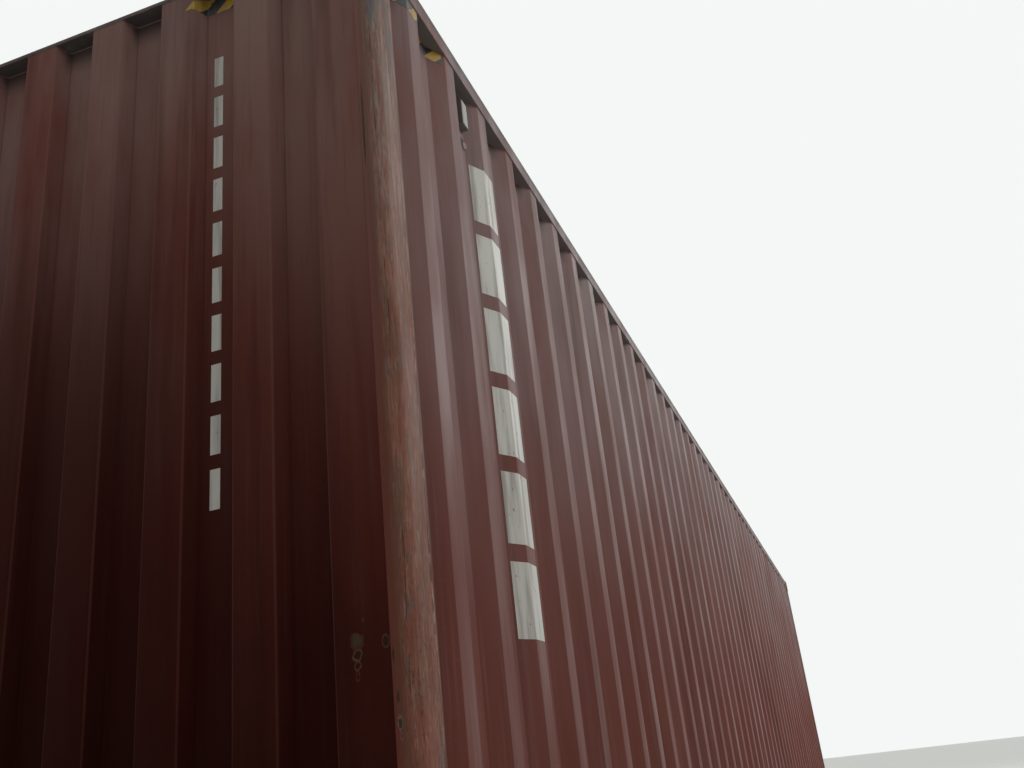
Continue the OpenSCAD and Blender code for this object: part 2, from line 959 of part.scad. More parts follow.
// a sheet with level folds between the four tubes of its leaf
module door_panel_left() {
    wide = leaf_outer_y - leaf_inner_y - 2 * stile_width;
    middle = (leaf_outer_y + leaf_inner_y) / 2;
    path = fold_path(fold_first, fold_pitch, door_fold_slope, door_fold_floor, 0, door_fold_depth, door_folds);
    outline = sheet_outline(
        leaf_panel_bottom, leaf_panel_top, 0, path, door_sheet,
        -bend_shift(door_sheet, door_fold_slope, door_fold_depth)
    );
    color("#713730")
        translate([door_sheet_face, -middle, 0])
            along_y(wide)
                polygon([for (point = outline) [-point[1], point[0]]]);
}

module door_panel_right() {
    on_right()
        door_panel_left();
}

module door_gaskets() {
    start = leaf_face - gasket_depth - (leaf_depth - gasket_depth) / 2;
    color("#1c1c1c")
        both_sides() {
            box([start, -rear_post_inner_y, sill_top], [start + gasket_depth, -leaf_outer_y, header_bottom]);
            box([start, -leaf_inner_y, sill_top], [start + gasket_depth, 0, header_bottom]);
            box([start, -leaf_outer_y, sill_top], [start + gasket_depth, -leaf_inner_y, leaf_bottom]);
            box([start, -leaf_outer_y, leaf_top], [start + gasket_depth, -leaf_inner_y, header_bottom]);
        }
}

// locking gear

// a hub on the bar and the lug that reaches into the keeper, towards the middle of the container
module cam(level) {
    translate([0, 0, level - cam_height / 2])
        difference() {
            union() {
                cylinder(r = cam_hub_radius, h = cam_height, $fn = round_steps);
                translate([-cam_thickness / 2, 0, 0])
                    cube([cam_thickness, cam_reach, cam_height]);
            }
            translate([0, 0, -cut])
                cylinder(r = bar_radius - bar_wall, h = cam_height + 2 * cut, $fn = round_steps);
        }
}

module locking_bar(level_y) {
    translate([bar_x, -level_y, 0]) {
        difference() {
            translate([0, 0, bar_bottom])
                cylinder(r = bar_radius, h = bar_top - bar_bottom, $fn = round_steps);
            translate([0, 0, bar_bottom - cut])
                cylinder(r = bar_radius - bar_wall, h = bar_top - bar_bottom + 2 * cut, $fn = round_steps);
        }
        cam(lower_cam_level);
        cam(upper_cam_level);
    }
}

module locking_bars() {
    color("#7a4a42")
        both_sides() {
            locking_bar(outer_bar_y);
            locking_bar(inner_bar_y);
        }
}

// a ring around the bar on a foot that sits on the leaf at the given face
module bar_bracket(level_y, level, face) {
    translate([bar_x, -level_y, level - bracket_height / 2])
        difference() {
            union() {
                cylinder(r = ring_radius, h = bracket_height, $fn = round_steps);
                translate([face - bar_x, -bracket_foot_width / 2, 0])
                    cube([bracket_foot_thickness, bracket_foot_width, bracket_height]);
                translate([face - bar_x, -ring_radius, 0])
                    cube([bar_x - face, 2 * ring_radius, bracket_height]);
            }
            translate([0, 0, -cut])
                cylinder(r = bar_radius + bar_fit, h = bracket_height + 2 * cut, $fn = round_steps);
        }
}

module bar_brackets() {
    color("#6a332c")
        both_sides()
            for (level_y = [outer_bar_y, inner_bar_y]) {
                bar_bracket(level_y, leaf_bottom + leaf_rail_height / 2, leaf_face);
                bar_bracket(level_y, leaf_panel_bottom + fold_pitch, door_sheet_face);
                bar_bracket(level_y, leaf_panel_bottom + (door_folds - 1) * fold_pitch, door_sheet_face);
                bar_bracket(level_y, leaf_top - leaf_rail_height / 2, leaf_face);
            }
}

// a base plate with two arms that take the cam's lug between them
module keeper(level_y, level) {
    high = keeper_inside + 2 * keeper_arm;
    translate([header_face, -level_y + cam_hub_radius + cam_gap, level - high / 2]) {
        cube([keeper_base, keeper_width, high]);
        cube([keeper_reach, keeper_width, keeper_arm]);
        translate([0, 0, high - keeper_arm])
            cube([keeper_reach, keeper_width, keeper_arm]);
        translate([keeper_reach - keeper_base, keeper_width - keeper_arm, 0])
            cube([keeper_base, keeper_arm, high]);
    }
}

module cam_keepers() {
    color("#6a332c")
        both_sides()
            for (level_y = [outer_bar_y, inner_bar_y]) {
                keeper(level_y, lower_cam_level);
                keeper(level_y, upper_cam_level);
            }
}

// a lever on a hub around the bar, and the catch on the leaf that holds its end
module handle(level_y, level, turn) {
    lever_x = ring_radius - handle_thickness;
    catch_y = handle_length - bracket_foot_width / 2;
    sheet_x = door_sheet_face - bar_x;
    shelf = handle_thickness;
    translate([bar_x, -level_y, level])
        mirror([0, turn < 0 ? 1 : 0, 0]) {
            difference() {
                union() {
                    translate([0, 0, -handle_height / 2])
                        cylinder(r = ring_radius, h = handle_height, $fn = round_steps);
                    translate([lever_x, 0, -handle_height / 2])
                        cube([handle_thickness, handle_length, handle_height]);
                }
                translate([0, 0, -handle_height / 2 - cut])
                    cylinder(r = bar_radius + bar_fit, h = handle_height + 2 * cut, $fn = round_steps);
            }
            translate([sheet_x, catch_y - bracket_foot_width / 4, -handle_height / 2 - shelf]) {
                cube([bracket_foot_thickness, bracket_foot_width / 2, handle_height + 2 * shelf]);
                cube([ring_radius - sheet_x + shelf, bracket_foot_width / 2, shelf]);
                translate([ring_radius - sheet_x + bar_fit, 0, 0])
                    cube([shelf - bar_fit, bracket_foot_width / 2, handle_height]);
            }
        }
}

module door_handles() {
    color("#6a332c")
        both_sides() {
            handle(outer_bar_y, handle_level + handle_offset / 2, 1);
            handle(inner_bar_y, handle_level - handle_offset / 2, -1);
        }
}

// hinges

module at_hinges() {
    both_sides()
        for (i = [0 : hinge_count - 1])
            translate([hinge_x, -hinge_y, leaf_bottom + hinge_end_distance + i * hinge_step])
                children();
}

module hinge_bore(high) {
    cylinder(d = hinge_pin + 2 * hinge_fit, h = high, $fn = round_steps);
}

module hinge_lug_pair() {
    for (level = [-hinge_height / 2 - hinge_gap - hinge_lug, hinge_height / 2 + hinge_gap])
        translate([0, 0, level])
            difference() {
                union() {
                    cylinder(r = hinge_eye_radius, h = hinge_lug, $fn = round_steps);
                    translate([rear_post_face - hinge_x, -hinge_eye_radius, 0])
                        cube([hinge_x - rear_post_face, 2 * hinge_eye_radius, hinge_lug]);
                }
                translate([0, 0, -cut])
                    hinge_bore(hinge_lug + 2 * cut);
            }
}

module hinge_lugs() {
    color("#6a332c")
        at_hinges()
            hinge_lug_pair();
}

// the blade runs from its eye past the gap and steps back onto the leaf's upright tube
module hinge_blade_piece() {
    outer_x = hinge_eye_radius;
    foot_x = leaf_face - hinge_x;
    step_y = hinge_y - leaf_outer_y + hinge_blade;
    foot_y = hinge_y - leaf_outer_y + hinge_foot;
    translate([0, 0, -hinge_height / 2])
        difference() {
            union() {
                cylinder(r = hinge_eye_radius, h = hinge_height, $fn = round_steps);
                linear_extrude(hinge_height)
                    polygon([
                        [outer_x - hinge_blade, 0], [outer_x, 0], [outer_x, step_y + hinge_blade],
                        [foot_x + hinge_blade, step_y + hinge_blade], [foot_x + hinge_blade, foot_y],
                        [foot_x, foot_y], [foot_x, step_y], [outer_x - hinge_blade, step_y]
                    ]);
            }
            translate([0, 0, -cut])
                hinge_bore(hinge_height + 2 * cut);
        }
}

module hinge_blades() {
    color("#6a332c")
        at_hinges()
            hinge_blade_piece();
}

module hinge_pins() {
    reach = hinge_height / 2 + hinge_gap + hinge_lug;
    color("#8c8c88")
        at_hinges() {
            translate([0, 0, -reach])
                cylinder(d = hinge_pin, h = 2 * reach + hinge_head_height, $fn = round_steps);
            translate([0, 0, reach])
                cylinder(r = hinge_head_radius, h = hinge_head_height, $fn = round_steps);
        }
}

// ventilators

// a moulded cover that fills a recess of the side wall, with slots open downwards
module ventilator() {
    near = (side_pitch - side_fold) / 2;
    spread = side_slope * vent_depth / side_depth;
    slot_step = vent_height / 5;
    difference() {
        linear_extrude(vent_height)
            polygon([
                [-near + vent_fit, 0], [near - vent_fit, 0],
                [near - vent_fit + spread, -vent_depth], [-near + vent_fit - spread, -vent_depth]
            ]);
        for (i = [1 : 4])
            translate([-near, -vent_depth - cut, i * slot_step - vent_slot / 2])
                cube([2 * near, vent_slot_depth + cut, vent_slot]);
    }
}

module ventilators() {
    recess_middle = side_first + (side_pitch + side_fold) / 2;
    near_rear = recess_middle + (side_ridges - 3) * side_pitch;
    near_front = recess_middle + side_pitch;
    level = wall_top - vent_drop - vent_height;
    recess_y = half_width - side_setback - side_depth;
    color("#5a2d27") {
        translate([near_rear, -recess_y, level])
            ventilator();
        on_right()
            translate([near_front, -recess_y, level])
                ventilator();
    }
}

casting_front_left_bottom();
casting_front_right_bottom();
casting_front_left_top();
casting_front_right_top();
casting_rear_left_bottom();
casting_rear_right_bottom();
casting_rear_left_top();
casting_rear_right_top();
front_post_left();
front_post_right();
rear_post_left();
rear_post_right();
front_top_rail();
front_bottom_rail();
door_header();
door_sill();
top_rail_left();
top_rail_right();
bottom_rail_left();
bottom_rail_right();
front_wall();
side_wall_left();
side_wall_right();
roof_panel();
roof_end_plates();
crossmembers();
tunnel_outriggers();
tunnel_plate();
tunnel_rails();
floor_boards();
floor_centre_rail();
door_frame_left();
door_frame_right();
door_panel_left();
door_panel_right();
door_gaskets();
locking_bars();
bar_brackets();
cam_keepers();
door_handles();
hinge_lugs();
hinge_blades();
hinge_pins();
ventilators();
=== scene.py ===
"""Looks for a forty foot high cube dry freight container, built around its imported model.

Lengths are in millimetres, in the model's own frame: X runs along the container from its
closed front end to its doors, Y across it, and Z up from the ground. Left is the -Y side.
Meshes and shader positions are in metres.
"""

import bisect
import functools
import itertools
import logging
import math
import random
from collections.abc import Callable, Iterable, Mapping, Sequence
from dataclasses import dataclass, field, replace
from enum import Enum
from typing import Any, NamedTuple

import bmesh
import bpy
from mathutils import Matrix, Vector


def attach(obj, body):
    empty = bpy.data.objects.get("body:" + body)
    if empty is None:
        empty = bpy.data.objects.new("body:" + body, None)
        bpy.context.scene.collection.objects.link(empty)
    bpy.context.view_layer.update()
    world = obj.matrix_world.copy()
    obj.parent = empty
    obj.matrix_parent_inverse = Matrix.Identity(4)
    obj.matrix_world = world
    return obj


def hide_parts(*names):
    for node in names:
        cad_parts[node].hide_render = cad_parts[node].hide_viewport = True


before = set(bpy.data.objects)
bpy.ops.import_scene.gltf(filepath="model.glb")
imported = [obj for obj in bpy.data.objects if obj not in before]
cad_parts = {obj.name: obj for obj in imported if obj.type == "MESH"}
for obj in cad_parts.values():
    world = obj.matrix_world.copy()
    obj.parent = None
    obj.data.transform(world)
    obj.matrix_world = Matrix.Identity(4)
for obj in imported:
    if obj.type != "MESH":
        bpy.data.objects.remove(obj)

Pair = tuple[float, float]
Point = tuple[float, float, float]
Colour = tuple[float, float, float, float]
Socket = bpy.types.NodeSocket
# a mask, and the colour that shows where it is 1
Coat = tuple[Socket, Socket | Colour]
# a height mask and its depth
Relief = tuple[Socket, float]

LOG = logging.getLogger("container")
BODY = "root"
METRE = 1000.0
OPAQUE = 1.0
SEED = 40
# places of the inputs and the output that a Mix node has for colours
MIX_FACTOR, MIX_UNDER, MIX_OVER, MIX_RESULT = 0, 6, 7, 2


class Way(Enum):
    """A way along one axis, as that axis's sign."""

    @property
    def word(self) -> str:
        """Its name as the model's nodes have it."""
        return self.name.lower()


class Side(Way):
    """The two long sides of the container, as the sign of Y."""

    LEFT = -1
    RIGHT = 1


class End(Way):
    """The two ends of the container, as the sign of X."""

    FRONT = -1
    REAR = 1


def linear(shade: str) -> Colour:
    """Turn an sRGB hex colour into linear light.

    Args:
        shade: The colour as "#rrggbb".

    Returns:
        The linear red, green and blue, and full opacity.
    """
    parts = [int(shade[i : i + 2], 16) / 255 for i in (1, 3, 5)]
    light = [p / 12.92 if p <= 0.04045 else ((p + 0.055) / 1.055) ** 2.4 for p in parts]
    return (light[0], light[1], light[2], OPAQUE)


# Materials


@dataclass(frozen=True)
class Patches:
    """Random patches of one size, as weather and wear leave them.

    The size is along X, Y and Z. The noise level at which a patch starts and the one at
    which it is full set how much of the surface is covered.
    """

    size: Point
    start: float
    full: float
    strength: float = 1.0
    detail: float = 4.0


@dataclass(frozen=True)
class Spots:
    """Scattered chips: spacing of the places for one, radius, and share of places taken."""

    spacing: float
    radius: float
    share: float


@dataclass(frozen=True)
class Mark:
    """One chip at a known place: its middle and half sizes in X, Y and Z.

    The rim is the colour of the torn paint around it, and the core, if it has one, that
    of what shows inside. The outline is the more broken the more ragged it is.
    """

    # X of the front end, and how deep a mark reaches there, past ridge and recess
    END, END_REACH = -6091.0, 300.0

    middle: Point
    half: Point
    rim: str
    core: str | None = None
    ragged: float = 0.5

    @classmethod
    def on_end(cls, middle: Pair, half: Pair, *looks: Any) -> "Mark":
        """Place a mark on the front end by its Y and Z."""
        return cls((cls.END, *middle), (cls.END_REACH, *half), *looks)


@dataclass(frozen=True)
class Film:
    """A darkening towards the bottom: heights where it starts and is full, and its strength there.

    On the front end it is painted shade. Where it fades out towards one edge, fade_across
    gives Y where it is gone and where it is whole.
    """

    heights: Pair
    strength: float
    fade_across: Pair | None = None


class NodeTable:
    """The node tree of a material or a world, and the call that adds a node to it."""

    # how far apart the patterns take their noise, so that no two are alike
    SHIFT = 13.7
    # how far and how often a chip's outline wanders, by the spacing of the chips
    WARP, WARP_TURNS = 0.35, 4.0
    # distances from a chip's middle, by its radius, where its core and rim start and are full
    CORE, CHIP_RIM, MARK_RIM = (1.0, 0.8), (1.5, 1.3), (1.3, 1.1)
    RAGS = Patches((1, 1, 1), 0.2, 0.8, 1.0, 3.0)
    # cosines of the turns at which an edge starts to count and counts in full
    EDGE_TURN = (0.998, 0.93)
    BEVEL_SAMPLES = 4

    def __init__(self, owner: bpy.types.Material | bpy.types.World) -> None:
        """Empty the tree.

        Args:
            owner: The material or world that has it.
        """
        self.owner = owner
        owner.use_nodes = True
        self.tree = owner.node_tree
        self.tree.nodes.clear()
        self.seeds = 0

    @functools.cached_property
    def point(self) -> Socket:
        """The place on the object."""
        return self.add("ShaderNodeTexCoord").outputs["Object"]

    def add(
        self,
        kind: str,
        settings: Mapping[str, Any] | None = None,
        links: Mapping[str | int, Any] | None = None,
    ) -> bpy.types.Node:
        """Add one node with its settings and what goes into its inputs.

        Args:
            kind: The node's type.
            settings: Values of the node's own properties.
            links: A socket to link, or a value to set, for each input named.

        Returns:
            The new node.
        """
        node = self.tree.nodes.new(kind)
        for key, value in (settings or {}).items():
            setattr(node, key, value)
        for key, value in (links or {}).items():
            if isinstance(value, Socket):
                self.tree.links.new(value, node.inputs[key])
            else:
                node.inputs[key].default_value = value
        return node

    def pattern(self, size: Sequence[float]) -> Socket:
        """Give the place on the object as a new pattern takes it.

        Args:
            size: The pattern's size along X, Y and Z.

        Returns:
            The place, by that size, moved to where no other pattern is.
        """
        self.seeds += 1
        shift, scale = [self.seeds * self.SHIFT] * 3, [METRE / s for s in size]
        links = {"Vector": self.point, "Location": shift, "Scale": scale}
        return self.add("ShaderNodeMapping", links=links).outputs[0]

    def mask(self, patches: Patches) -> Socket:
        """Cover the surface with random patches.

        Args:
            patches: Their size and cover.

        Returns:
            A value from 0 between the patches to their strength inside them.
        """
        links = {"Vector": self.pattern(patches.size), "Scale": 1.0, "Detail": patches.detail}
        noise = self.add("ShaderNodeTexNoise", links=links).outputs[0]
        return self.rise(noise, (patches.start, patches.full), patches.strength)

    def stains(self, kinds: Iterable[tuple[Patches, str]]) -> list[Coat]:
        """Give a coat for each kind of patches and its hex colour."""
        return [(self.mask(patches), linear(shade)) for patches, shade in kinds]

    def rise(self, value: Socket, levels: Pair, top: float = 1.0) -> Socket:
        """Turn a value into a soft step.

        Args:
            value: The value.
            levels: Where the step starts and where it is full.
            top: Its height.

        Returns:
            A value from 0 before the start to the top past the end.
        """
        step = self.add(
            "ShaderNodeMapRange",
            {"interpolation_type": "SMOOTHSTEP"},
            {"Value": value, "From Min": levels[0], "From Max": levels[1], "To Max": top},
        )
        return step.outputs[0]

    def climb(self, position: Socket, places: Pair, top: float = 1.0) -> Socket:
        """Turn a position into a soft step between two places in mm."""
        return self.rise(position, (places[0] / METRE, places[1] / METRE), top)

    def place(self, axis: str, point: Socket | None = None) -> Socket:
        """Give the position along one axis."""
        return self.add("ShaderNodeSeparateXYZ", links={0: point or self.point}).outputs[axis]

    def overlap(self, first: Socket, second: Socket) -> Socket:
        """Keep a mask only as far as another one goes."""
        return self.add("ShaderNodeMath", {"operation": "MULTIPLY"}, {0: first, 1: second}).outputs[0]

    def spots(self, spots: Spots) -> tuple[Socket, Socket]:
        """Scatter chips over the surface.

        Args:
            spots: Their spacing, size and share.

        Returns:
            A mask of the chips' middles, and one of the chips with their rims.
        """
        point = self.pattern([spots.spacing] * 3)
        wobble = self.add("ShaderNodeTexNoise", links={"Vector": point, "Scale": self.WARP_TURNS})
        warped = self.add(
            "ShaderNodeVectorMath",
            {"operation": "MULTIPLY_ADD"},
            {0: wobble.outputs["Color"], 1: [self.WARP] * 3, 2: point},
        )
        cells = self.add("ShaderNodeTexVoronoi", links={"Vector": warped.outputs[0], "Scale": 1.0})
        chance = self.place("X", cells.outputs["Color"])
        taken = self.add(
            "ShaderNodeMath", {"operation": "GREATER_THAN"}, {0: chance, 1: 1 - spots.share}
        )
        radius = spots.radius / spots.spacing
        core, whole = (
            self.rise(cells.outputs["Distance"], (radius * start, radius * full))
            for start, full in (self.CORE, self.CHIP_RIM)
        )
        return self.overlap(core, taken.outputs[0]), self.overlap(whole, taken.outputs[0])

    def mark(self, mark: Mark) -> list[Coat]:
        """Draw one chip at its place.

        Args:
            mark: Where it is, how large, and its colours.

        Returns:
            Its coats, from the lowest up.
        """
        # a mark takes two places in the row of patterns: its own and that of its outline
        self.seeds += 1
        away = self.add(
            "ShaderNodeVectorMath",
            {"operation": "SUBTRACT"},
            {0: self.point, 1: [middle / METRE for middle in mark.middle]},
        )
        scaled = self.add(
            "ShaderNodeVectorMath",
            {"operation": "MULTIPLY"},
            {0: away.outputs[0], 1: [METRE / half for half in mark.half]},
        )
        length = self.add("ShaderNodeVectorMath", {"operation": "LENGTH"}, {0: scaled.outputs[0]})
        small = min(mark.half)
        rags = self.mask(replace(self.RAGS, size=(small, small, small), strength=mark.ragged))
        links = {0: length.outputs["Value"], 1: rags}
        reach = self.add("ShaderNodeMath", {"operation": "ADD"}, links).outputs[0]
        core, whole = self.rise(reach, self.CORE), self.rise(reach, self.MARK_RIM)
        if mark.core:
            return [(whole, linear(mark.rim)), (core, linear(mark.core))]
        ring = self.add("ShaderNodeMath", {"operation": "SUBTRACT"}, {0: whole, 1: core})
        return [(ring.outputs[0], linear(mark.rim))]

    def lay(self, under: Socket | Colour, coats: Iterable[Coat]) -> Socket:
        """Lay colours over one another, each where its mask says.

        Args:
            under: The lowest colour.
            coats: The coats, from the lowest up.

        Returns:
            The colour that shows.
        """
        for mask, colour in coats:
            links = {MIX_FACTOR: mask, MIX_UNDER: under, MIX_OVER: colour}
            under = self.add("ShaderNodeMix", {"data_type": "RGBA"}, links).outputs[MIX_RESULT]
        return under

    def roughness(self, mask: Socket, levels: Pair) -> Socket:
        """Give the roughness: the first level outside a mask, and the second inside it."""
        links = {"Value": mask, "To Min": levels[0], "To Max": levels[1]}
        return self.add("ShaderNodeMapRange", links=links).outputs[0]

    def rounded(self, radius: float) -> Socket:
        """Give the surface's normal with sharp edges rounded to a radius in mm."""
        settings, links = {"samples": self.BEVEL_SAMPLES}, {"Radius": radius / METRE}
        return self.add("ShaderNodeBevel", settings, links).outputs[0]

    def relief(self, reliefs: Iterable[Relief], soften: float = 0.0) -> Socket:
        """Stack reliefs into one surface normal.

        Args:
            reliefs: The reliefs, from the lowest up.
            soften: Radius in mm to which sharp edges look rounded; 0 leaves them.

        Returns:
            The normal for the shader.
        """
        links: dict[str, Any] = {"Normal": self.rounded(soften)} if soften else {}
        for mask, depth in reliefs:
            links |= {"Height": mask, "Distance": depth / METRE}
            links["Normal"] = self.add("ShaderNodeBump", links=links).outputs[0]
        return links["Normal"]

    def edges(self, width: float) -> Socket:
        """Mask the sharp edges of a part.

        Args:
            width: How far the mask reaches from an edge.

        Returns:
            The mask.
        """
        flat = self.add("ShaderNodeNewGeometry").outputs["Normal"]
        links = {0: self.rounded(width), 1: flat}
        turn = self.add("ShaderNodeVectorMath", {"operation": "DOT_PRODUCT"}, links)
        return self.rise(turn.outputs["Value"], self.EDGE_TURN)

    def finish(self, shader: Mapping[str, Any]) -> bpy.types.Material:
        """Close the tree with its Principled shader.

        Args:
            shader: A socket or a value for each input of the shader.

        Returns:
            The finished material.
        """
        body = self.add("ShaderNodeBsdfPrincipled", links=shader)
        self.add("ShaderNodeOutputMaterial", links={"Surface": body.outputs[0]})
        return self.owner


class Skin(NamedTuple):
    """What lies over a finish's body colour.

    The gloss is the mask inside which the surface is at its roughest. The rest are
    other inputs of the shader.
    """

    coats: list[Coat]
    gloss: Socket
    reliefs: list[Relief]
    rest: Mapping[str, Any] = {}


@dataclass(frozen=True)
class Coating:
    """What all finishes share: name, body colour, roughness, shine and softened edges."""

    name: str
    body: str
    rough: Pair = (0.5, 0.8)
    shine: float = 0.5
    soft_edge: float = 0.0

    def skin(self, table: NodeTable) -> Skin:
        """Give what lies over the body colour.

        Args:
            table: The material's nodes.

        Returns:
            The skin.
        """
        raise NotImplementedError

    def build(self) -> bpy.types.Material:
        """Make the material.

        Returns:
            The material.
        """
        table = NodeTable(bpy.data.materials.new(self.name))
        skin = self.skin(table)
        shader = {
            "Base Color": table.lay(linear(self.body), skin.coats),
            "Roughness": table.roughness(skin.gloss, self.rough),
            "Specular IOR Level": self.shine,
            "Normal": table.relief(skin.reliefs, self.soft_edge),
        }
        return table.finish({**shader, **skin.rest})


@dataclass(frozen=True)
class OxidePaint(Coating):
    """Alkyd top coat sprayed over primer on pressed weathering steel.

    A semi-gloss skin with the faint orange peel of an airless gun. Years outside have
    chalked it pale from the top down, run dark streaks down it along the fall of the water
    and knocked small chips through to primer and rust. Soot lies on ledges. Painted light
    and shade lie over this: a painted highlight with the wear on outward bends, painted
    shade with the dirt in inward bends, where given a darkening towards the bottom that on
    the front end is painted shade, painted shade with dirt deep in low folds, and painted
    shade in folds under a rail and on faces that look down.
    """

    CHALKING = Patches((300, 300, 900), 0.15, 0.6)
    SPLASHES = Patches((180, 180, 240), 0.35, 0.65, 0.8)
    FADING = Patches((900, 900, 1500), 0.35, 0.7, 0.6)
    STREAKS = Patches((75, 75, 1300), 0.5, 0.75, 0.45)
    WASHES = Patches((16, 16, 520), 0.52, 0.75, 0.2)
    RUNS = Patches((9, 9, 260), 0.55, 0.8, 0.25)
    SPECKS = Patches((6, 6, 6), 0.55, 0.8, 0.14, 2.0)
    SOOT = Patches((70, 70, 40), 0.15, 0.5)
    EDGE_LOSS = Patches((60, 60, 60), 0.4, 0.6, 0.7)
    TEARS = Patches((5, 5, 5), 0.45, 0.6, 0.7)
    SHEEN = Patches((140, 140, 600), 0.25, 0.75)
    WAVE = Patches((420, 420, 520), 0.2, 0.8, 1.0, 1.0)
    # the gun leaves bumps 1 mm wide; 2.5 mm is as fine as the render shows
    ORANGE_PEEL, PEEL_DEPTH = Patches((2.5, 2.5, 2.5), 0.2, 0.8, 1.0, 2.0), 0.03
    # strength of what lies on the bends, over how far they turn out (or in, below 0): wear and a painted
    # highlight on outward bends, dirt and painted shade in inward ones
    RUBBED, RUBBED_BEND = 0.3, (0.3, 1.0)
    DIRTY, DIRTY_BEND = 0.35, (-0.3, -1.0)
    BARE, BARE_BEND = 0.2, (0.5, 1.0)
    # strength of the painted shade, a grey, on faces that look down, and the Z of their normals
    DUSTY, DUSTY_TURN = 0.9, (-0.5, -0.9)
    # strength of the painted shade in folds under a rail, its height, and how deep in a fold it is
    SHADED, SHADE_HEIGHT, SHADE_DEPTH = 0.8, 90.0, (0.4, 0.9)
    # heights where the painted shade with dirt deep in low folds starts and is full, and how deep in a
    # fold it lies
    SILT_HEIGHTS, SILT_DEPTH = (2100.0, 600.0), (0.7, 0.98)
    SOOTY = 0.7

    body: str = "#6f3229"
    rough: Pair = (0.42, 0.66)
    shine: float = 0.15
    faded: str = "#7d453b"
    chalk: str = "#8f7572"
    streak: str = "#431d18"
    wash: str = "#8c6c62"
    grime: str = "#2a1a17"
    rust: str = "#4a2415"
    # colour of the darkening towards the bottom, which on the front end is painted shade, and of the
    # painted shade with dirt deep in low folds
    spray: str = "#280b07"
    # colour of the painted shade on faces that look down
    underside_shade: str = "#787472"
    # colour of the painted shade under rails, and of the soot on ledges
    shade: str = "#413d3b"
    chalk_span: Pair = (900.0, 3200.0)
    chalk_strength: float = 0.7
    grime_top: float = 700.0
    # darkenings towards the bottom; on the front end they are painted shade
    darkenings: tuple[Film, ...] = ()
    # strength of the painted shade with dirt deep in low folds
    silt: float = 0.0
    chip: Spots = Spots(85.0, 3.2, 0.06)
    edge_wear: float = 0.0
    undulation: float = 1.0
    # height of the rail under which painted shade lies in the folds
    painted_shade_top: float | None = None
    ledge: Pair | None = None
    marks: tuple[Mark, ...] = ()

    def weather(self, table: NodeTable) -> list[Coat]:
        """List the coats of weather over the paint, with wear and a painted highlight on outward bends,
        dirt and painted shade in inward bends, and the darkening towards the bottom, which is painted
        shade on the front end.

        Args:
            table: The material's nodes.

        Returns:
            The coats, from the lowest up.
        """
        height = table.place("Z")
        high = table.climb(height, self.chalk_span, self.chalk_strength)
        chalk = table.overlap(high, table.mask(self.CHALKING))
        low = table.climb(height, (self.grime_top, 0.0))
        splash = table.overlap(low, table.mask(self.SPLASHES))
        streaks = ((self.STREAKS, self.streak), (self.WASHES, self.wash))
        fine = ((self.RUNS, self.streak), (self.SPECKS, self.wash))
        fading, *stains = table.stains([(self.FADING, self.faded), *streaks, *fine])
        # darkening towards the bottom, fading out towards one edge where given; on the front end it is
        # painted shade
        darkenings: list[Coat] = []
        for film in self.darkenings:
            thick = table.climb(height, film.heights, film.strength)
            if film.fade_across:
                thick = table.overlap(thick, table.climb(table.place("Y"), film.fade_across))
            darkenings.append((thick, linear(self.spray)))
        bend = table.add("ShaderNodeAttribute", {"attribute_name": FoldedSheet.BEND}).outputs["Fac"]
        return [
            fading,
            (chalk, linear(self.chalk)),
            *stains,
            # wear and a painted highlight on outward bends, dirt and painted shade in inward bends
            (table.rise(bend, self.RUBBED_BEND, self.RUBBED), linear(self.wash)),
            (table.rise(bend, self.DIRTY_BEND, self.DIRTY), linear(self.grime)),
            *darkenings,
            # more painted highlight, with wear, on outward bends, laid over the darkening
            (table.rise(bend, self.BARE_BEND, self.BARE), linear(self.faded)),
            (splash, linear(self.grime)),
        ]

    @staticmethod
    def deep_in_folds(table: NodeTable, heights: Pair, strength: float, depths: Pair, shade: str) -> Coat:
        """Give a coat that lies deep in the folds.

        Args:
            table: The material's nodes.
            heights: Where it starts and is full, in height.
            strength: Its strength.
            depths: Where it starts and is full, by the depth of a fold.
            shade: Its colour.

        Returns:
            The coat.
        """
        depth = table.add("ShaderNodeAttribute", {"attribute_name": FoldedSheet.DEPTH}).outputs["Fac"]
        near = table.climb(table.place("Z"), heights, strength)
        return table.overlap(near, table.rise(depth, depths)), linear(shade)

    def damage(self, table: NodeTable) -> list[Coat]:
        """List the coats over the weather: painted shade on faces that look down, in folds under a rail
        and, with dirt, deep in low folds; soot; worn edges, chips and marks.

        Args:
            table: The material's nodes.

        Returns:
            The coats, from the lowest up.
        """
        core, whole = table.spots(self.chip)
        facing = table.place("Z", table.add("ShaderNodeNewGeometry").outputs["Normal"])
        # painted shade: faces that look down turn grey
        coats: list[Coat] = [(table.rise(facing, self.DUSTY_TURN, self.DUSTY), linear(self.underside_shade))]
        # painted shade deep in the folds under a rail
        if self.painted_shade_top:
            heights = (self.painted_shade_top - self.SHADE_HEIGHT, self.painted_shade_top)
            coats.append(self.deep_in_folds(table, heights, self.SHADED, self.SHADE_DEPTH, self.shade))
        # painted shade with dirt deep in the low folds
        if self.silt:
            heights, depths = self.SILT_HEIGHTS, self.SILT_DEPTH
            coats.append(self.deep_in_folds(table, heights, self.silt, depths, self.spray))
        if self.ledge:
            near = table.climb(table.place("Z"), self.ledge, self.SOOTY)
            coats.append((table.overlap(near, table.mask(self.SOOT)), linear(self.shade)))
        if self.edge_wear:
            worn = table.overlap(table.edges(self.edge_wear), table.mask(self.EDGE_LOSS))
            coats.append((worn, linear(self.wash)))
        torn = table.overlap(whole, table.mask(self.TEARS))
        coats += [(torn, linear(self.wash)), (core, linear(self.rust))]
        for mark in self.marks:
            coats += table.mark(mark)
        return coats

